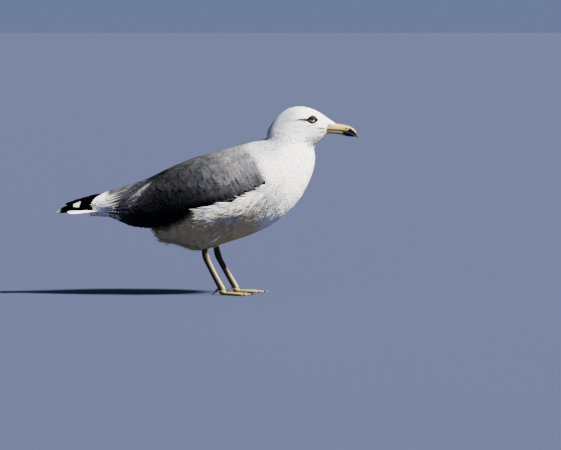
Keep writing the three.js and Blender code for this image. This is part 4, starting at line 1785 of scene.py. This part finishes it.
# %% Eyelids
LID_LONG = 6.2
LID_TALL = 4.9
LID_TUBE = 0.34


def lid_finish():
    """Bare dark skin with fine folds."""
    material, shader = principled(
        "lid_skin", Base_Color=(*LID_BLACK, 1), Roughness=0.6, Specular_IOR_Level=0.08
    )
    tree = material.node_tree
    folds = noise(tree, own_places(tree), 2500.0)
    wire(tree, (raised(tree, folds, 0.4, 0.1 * MM), shader.inputs["Normal"]))
    return material


LID_FINISH = lid_finish()

for side, name in SIDES:
    deselect()
    bpy.ops.mesh.primitive_torus_add(
        major_segments=64, minor_segments=16, major_radius=1.0, minor_radius=LID_TUBE
    )
    lids = bpy.context.object
    lids.name = "eyelids_" + name
    ring = points_of(lids)
    around = np.arctan2(ring[:, 1], ring[:, 0])
    reach = np.hypot(ring[:, 0], ring[:, 1])
    corner = 1.0 + 0.26 * np.abs(np.cos(around)) ** 6
    x = LID_LONG * corner * np.cos(around) * reach
    z = LID_TALL * np.sin(around) * reach + 0.5 * np.cos(around)
    z = np.where(z > 0, z * (0.96 + 0.12 * np.clip((reach - 1) / LID_TUBE, 0, 1)), z)
    from_axis = np.minimum(np.hypot(x, z), EYE_RADIUS / MM * 0.99)
    ball = np.sqrt((EYE_RADIUS / MM) ** 2 - from_axis**2)
    out = ball + 0.25 + ring[:, 2] * 3.4
    move_points(lids, np.stack([x + 0.16 * ball, side * out, z], axis=1) * MM + middle_of("eye_" + name))
    if side < 0:
        turn_outward(lids)
    lids.data.shade_smooth()
    lids.data.materials.append(LID_FINISH)
    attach(lids, "root")
print("middle of the lid ring, in mm:", 2 * LID_LONG, "by", 2 * LID_TALL)

# %% [markdown]
# ## The bill
# The horn of the bill is smooth and waxy, yellow with a black band across the end of both halves. It
# could be modelled afresh, but the solids already give its hook and its angle below. So each half is a
# smoothed copy of its solid, and a long nostril is sunk into each side of the upper one.

# %% Colours of the horn
NOSTRIL = (257.6, 306.6)
HORN_YELLOW = np.array([0.36, 0.285, 0.056])
HORN_PALE = np.array([0.30, 0.25, 0.080])
HORN_SHADE = np.array([0.035, 0.025, 0.010])
HORN_BLACK = np.array([0.0012, 0.0012, 0.0012])


def horn_colours(points, upper):
    """Yellow horn with the black band near the end, and painted shade along the cutting edge, in the nostril
    and under the lower half.
    """
    x, _, z = points.T / MM
    colours = blend(np.tile(HORN_YELLOW, (len(points), 1)), HORN_PALE, smooth(-x, -250, -222))
    if upper:
        rear = smooth(x - 0.9 * (z - 304), 260.0, 262.5)
        ridge = smooth(z - np.interp(x, [262, 268, 274, 279], [309.5, 307.0, 301.0, 294]), -0.8, 0.2)
        nail = smooth(x + 0.4 * (z - 290), 277.0, 278.4)
        band = rear * (1 - ridge) * (1 - nail)
        # Painted shade in the crease between the two halves and in the nostril slit.
        cut = np.interp(x, [213, 246, 256, 264, 272], [305.6, 304.2, 303.4, 301.6, 298.4])
        slit = smudge(points, NOSTRIL[0] + 1.5, NOSTRIL[1] - 0.3, 5.5, 0.9, -9)
        dusk = 0.95 * smooth(cut - z, -1.9, 0.0) + slit
    else:
        band = smooth(x + 0.5 * (z - 297), 249.5, 254.0)
        # Painted shade in the crease between the halves and under the keel of the lower half.
        cut = np.interp(x, [216, 246, 262, 272], [303.2, 301.2, 298.2, 294.6])
        keel = np.interp(x, [216, 230, 248, 256], [298.6, 298.4, 297.4, 295.5])
        dusk = 0.95 * smooth(z - cut, -1.3, 0.3) + 0.9 * smooth(keel - z, -0.8, 1.4)
    return blend(blend(colours, HORN_SHADE, np.clip(dusk, 0, 1)), HORN_BLACK, band)


def horn_finish():
    """Waxy horn that paints the stored colours, with faint streaks and scratches."""
    material, shader = principled(
        "bill_horn", Roughness=0.30, Specular_IOR_Level=0.22, Coat_Weight=0.05, Coat_Roughness=0.15
    )
    tree = material.node_tree
    stretch = add_node(tree, "Mapping", Scale=(120.0, 900.0, 900.0))
    wire(tree, (own_places(tree), stretch.inputs["Vector"]))
    grain = noise(tree, stretch.outputs["Vector"], 1.0, 4.0)
    shade = add_node(tree, "MapRange", To_Min=0.72, To_Max=1.18)
    wire(
        tree,
        (grain, shade.inputs["Value"]),
        (scaled(tree, stored_marking(tree), shade.outputs["Result"]), shader.inputs["Base Color"]),
        (raised(tree, grain, 0.25, 0.15 * MM), shader.inputs["Normal"]),
    )
    return material


HORN_FINISH = horn_finish()
print("horn finish:", HORN_FINISH.name)


# %% Bill halves
def nostril_cutter(side):
    """A slanted spindle that reaches well into the bill from one side."""
    deselect()
    bpy.ops.mesh.primitive_uv_sphere_add(
        segments=24, ring_count=12, radius=1.0 * MM,
        location=(NOSTRIL[0] * MM, side * 6.2 * MM, NOSTRIL[1] * MM), rotation=(0, math.radians(9), 0),
        scale=(4.4, 4.6, 1.15),
    )
    return bpy.context.object


def smoothed_copy(node, ending, levels):
    """A copy of a solid, rounded by subdivision."""
    piece = merged_copy(node, node + ending)
    apply_modifier(piece, "SUBSURF", levels=levels, render_levels=levels)
    return piece


def repaint(piece, finish, colours=None):
    """Smooth shading and one finish for a copy. With colours, edges over 55 degrees stay sharp."""
    piece.data.shade_smooth()
    if colours is not None:
        piece.data.set_sharp_from_angle(angle=math.radians(55))
        add_colours(piece.data, colours)
    piece.data.materials.clear()
    piece.data.materials.append(finish)


for node in ("bill_upper", "bill_lower"):
    horn = smoothed_copy(node, "_horn", 3)
    if node == "bill_upper":
        for side in (1, -1):
            cutter = nostril_cutter(side)
            apply_modifier(horn, "BOOLEAN", object=cutter, operation="DIFFERENCE", solver="EXACT")
            bpy.data.objects.remove(cutter)
    repaint(horn, HORN_FINISH, horn_colours(points_of(horn), node == "bill_upper"))
    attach(horn, "root")
    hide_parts(node)
    print(node, "triangles:", sum(len(p.vertices) - 2 for p in horn.data.polygons))

# %% [markdown]
# ## Legs and feet
# The legs are bare, pale straw yellow and covered with scales: broad plates down the front, and small
# round ones on the joints and webs. Each scale could be cut, but only the plates are large enough to show
# in the outline. So the solids' copies are smoothed, rings of plates are pressed into the legs, and a fine
# crackle in the finish gives the small scales.


# %% Leg and foot skin
def leg_finish():
    """Dry scaly skin: cells of a fine crackle, darker between the scales."""
    material, shader = principled("leg_skin", Roughness=0.55, Specular_IOR_Level=0.35)
    tree = material.node_tree
    scales = add_node(tree, "TexVoronoi", Scale=620.0)
    scales.feature = "DISTANCE_TO_EDGE"
    joints = add_node(tree, "MapRange", From_Max=0.12, To_Min=0.62, To_Max=1.05)
    darker = joints.outputs["Result"]
    wire(
        tree,
        (own_places(tree), scales.inputs["Vector"]),
        (scales.outputs["Distance"], joints.inputs["Value"]),
        (scaled(tree, stored_marking(tree), darker), shader.inputs["Base Color"]),
        (raised(tree, darker, 0.6, 0.25 * MM), shader.inputs["Normal"]),
    )
    return material


LEG_FINISH = leg_finish()
STRAW = np.array([0.20, 0.155, 0.034])
LIT_FRONT_PLATES = np.array([0.44, 0.365, 0.125])
SHADOWED = np.array([0.010, 0.008, 0.004])
PLATE_STEP = 3.1
PLATE_DEPTH = 0.22 * MM


def leg_colours(points, normals):
    """Straw yellow, with painted light on the plates in front, darker where the skin faces up, and painted
    shadow at the back of the leg and where the body's shadow falls on its upper end.
    """
    # Painted shadow on the back of the leg and painted light on its front.
    rear = smooth(-normals[:, 0] - 0.25 * normals[:, 2], -0.62, 0.0) * smooth(points[:, 2], 5 * MM, 12 * MM)
    colours = blend(np.tile(STRAW, (len(points), 1)), LIT_FRONT_PLATES, smooth(normals[:, 0], 0.45, 0.85))
    colours = colours * (1 - 0.35 * smooth(normals[:, 2], 0.5, 0.9))[:, None]
    colours = blend(colours, SHADOWED, 0.97 * rear)
    # Painted shadow of the body on the upper leg, reaching lower on the far leg.
    body_shadow_on_leg = smooth(points[:, 2] - 8 * MM * normals[:, 0] + 0.5 * points[:, 1], 53 * MM, 60 * MM)
    return blend(colours, SHADOWED, 0.85 * body_shadow_on_leg)


for _, side in SIDES:
    for node in ("leg_", "foot_", "hind_toe_"):
        limb = smoothed_copy(node + side, "_skin", 2)
        points, normals = points_of(limb), normals_of(limb)
        if node == "leg_":
            rings = np.sin(points[:, 2] / MM * 2 * math.pi / PLATE_STEP)
            plates = np.clip(normals[:, 0], 0, 1) * (np.abs(rings) ** 0.5 - 0.6) * PLATE_DEPTH
            move_points(limb, points + normals * plates[:, None])
        repaint(limb, LEG_FINISH, leg_colours(points, normals))
        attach(limb, "root")
        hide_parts(node + side)
print("legs and feet made")

# %% [markdown]
# ## The claws
# Each toe ends in a short dark claw of horn. Claws could be part of the foot's skin, but horn has its own
# gloss, so each claw is a smoothed copy of its solid with a finish of its own.

# %% Claws
CLAW_FINISH = principled("claw_horn", Base_Color=(0.03, 0.025, 0.02, 1), Roughness=0.35)[0]

for node in sorted(n for n in nodes if n.startswith("claw_")):
    claw = smoothed_copy(node, "_horn", 1)
    repaint(claw, CLAW_FINISH)
    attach(claw, "root")
    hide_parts(node)
print("claws made")
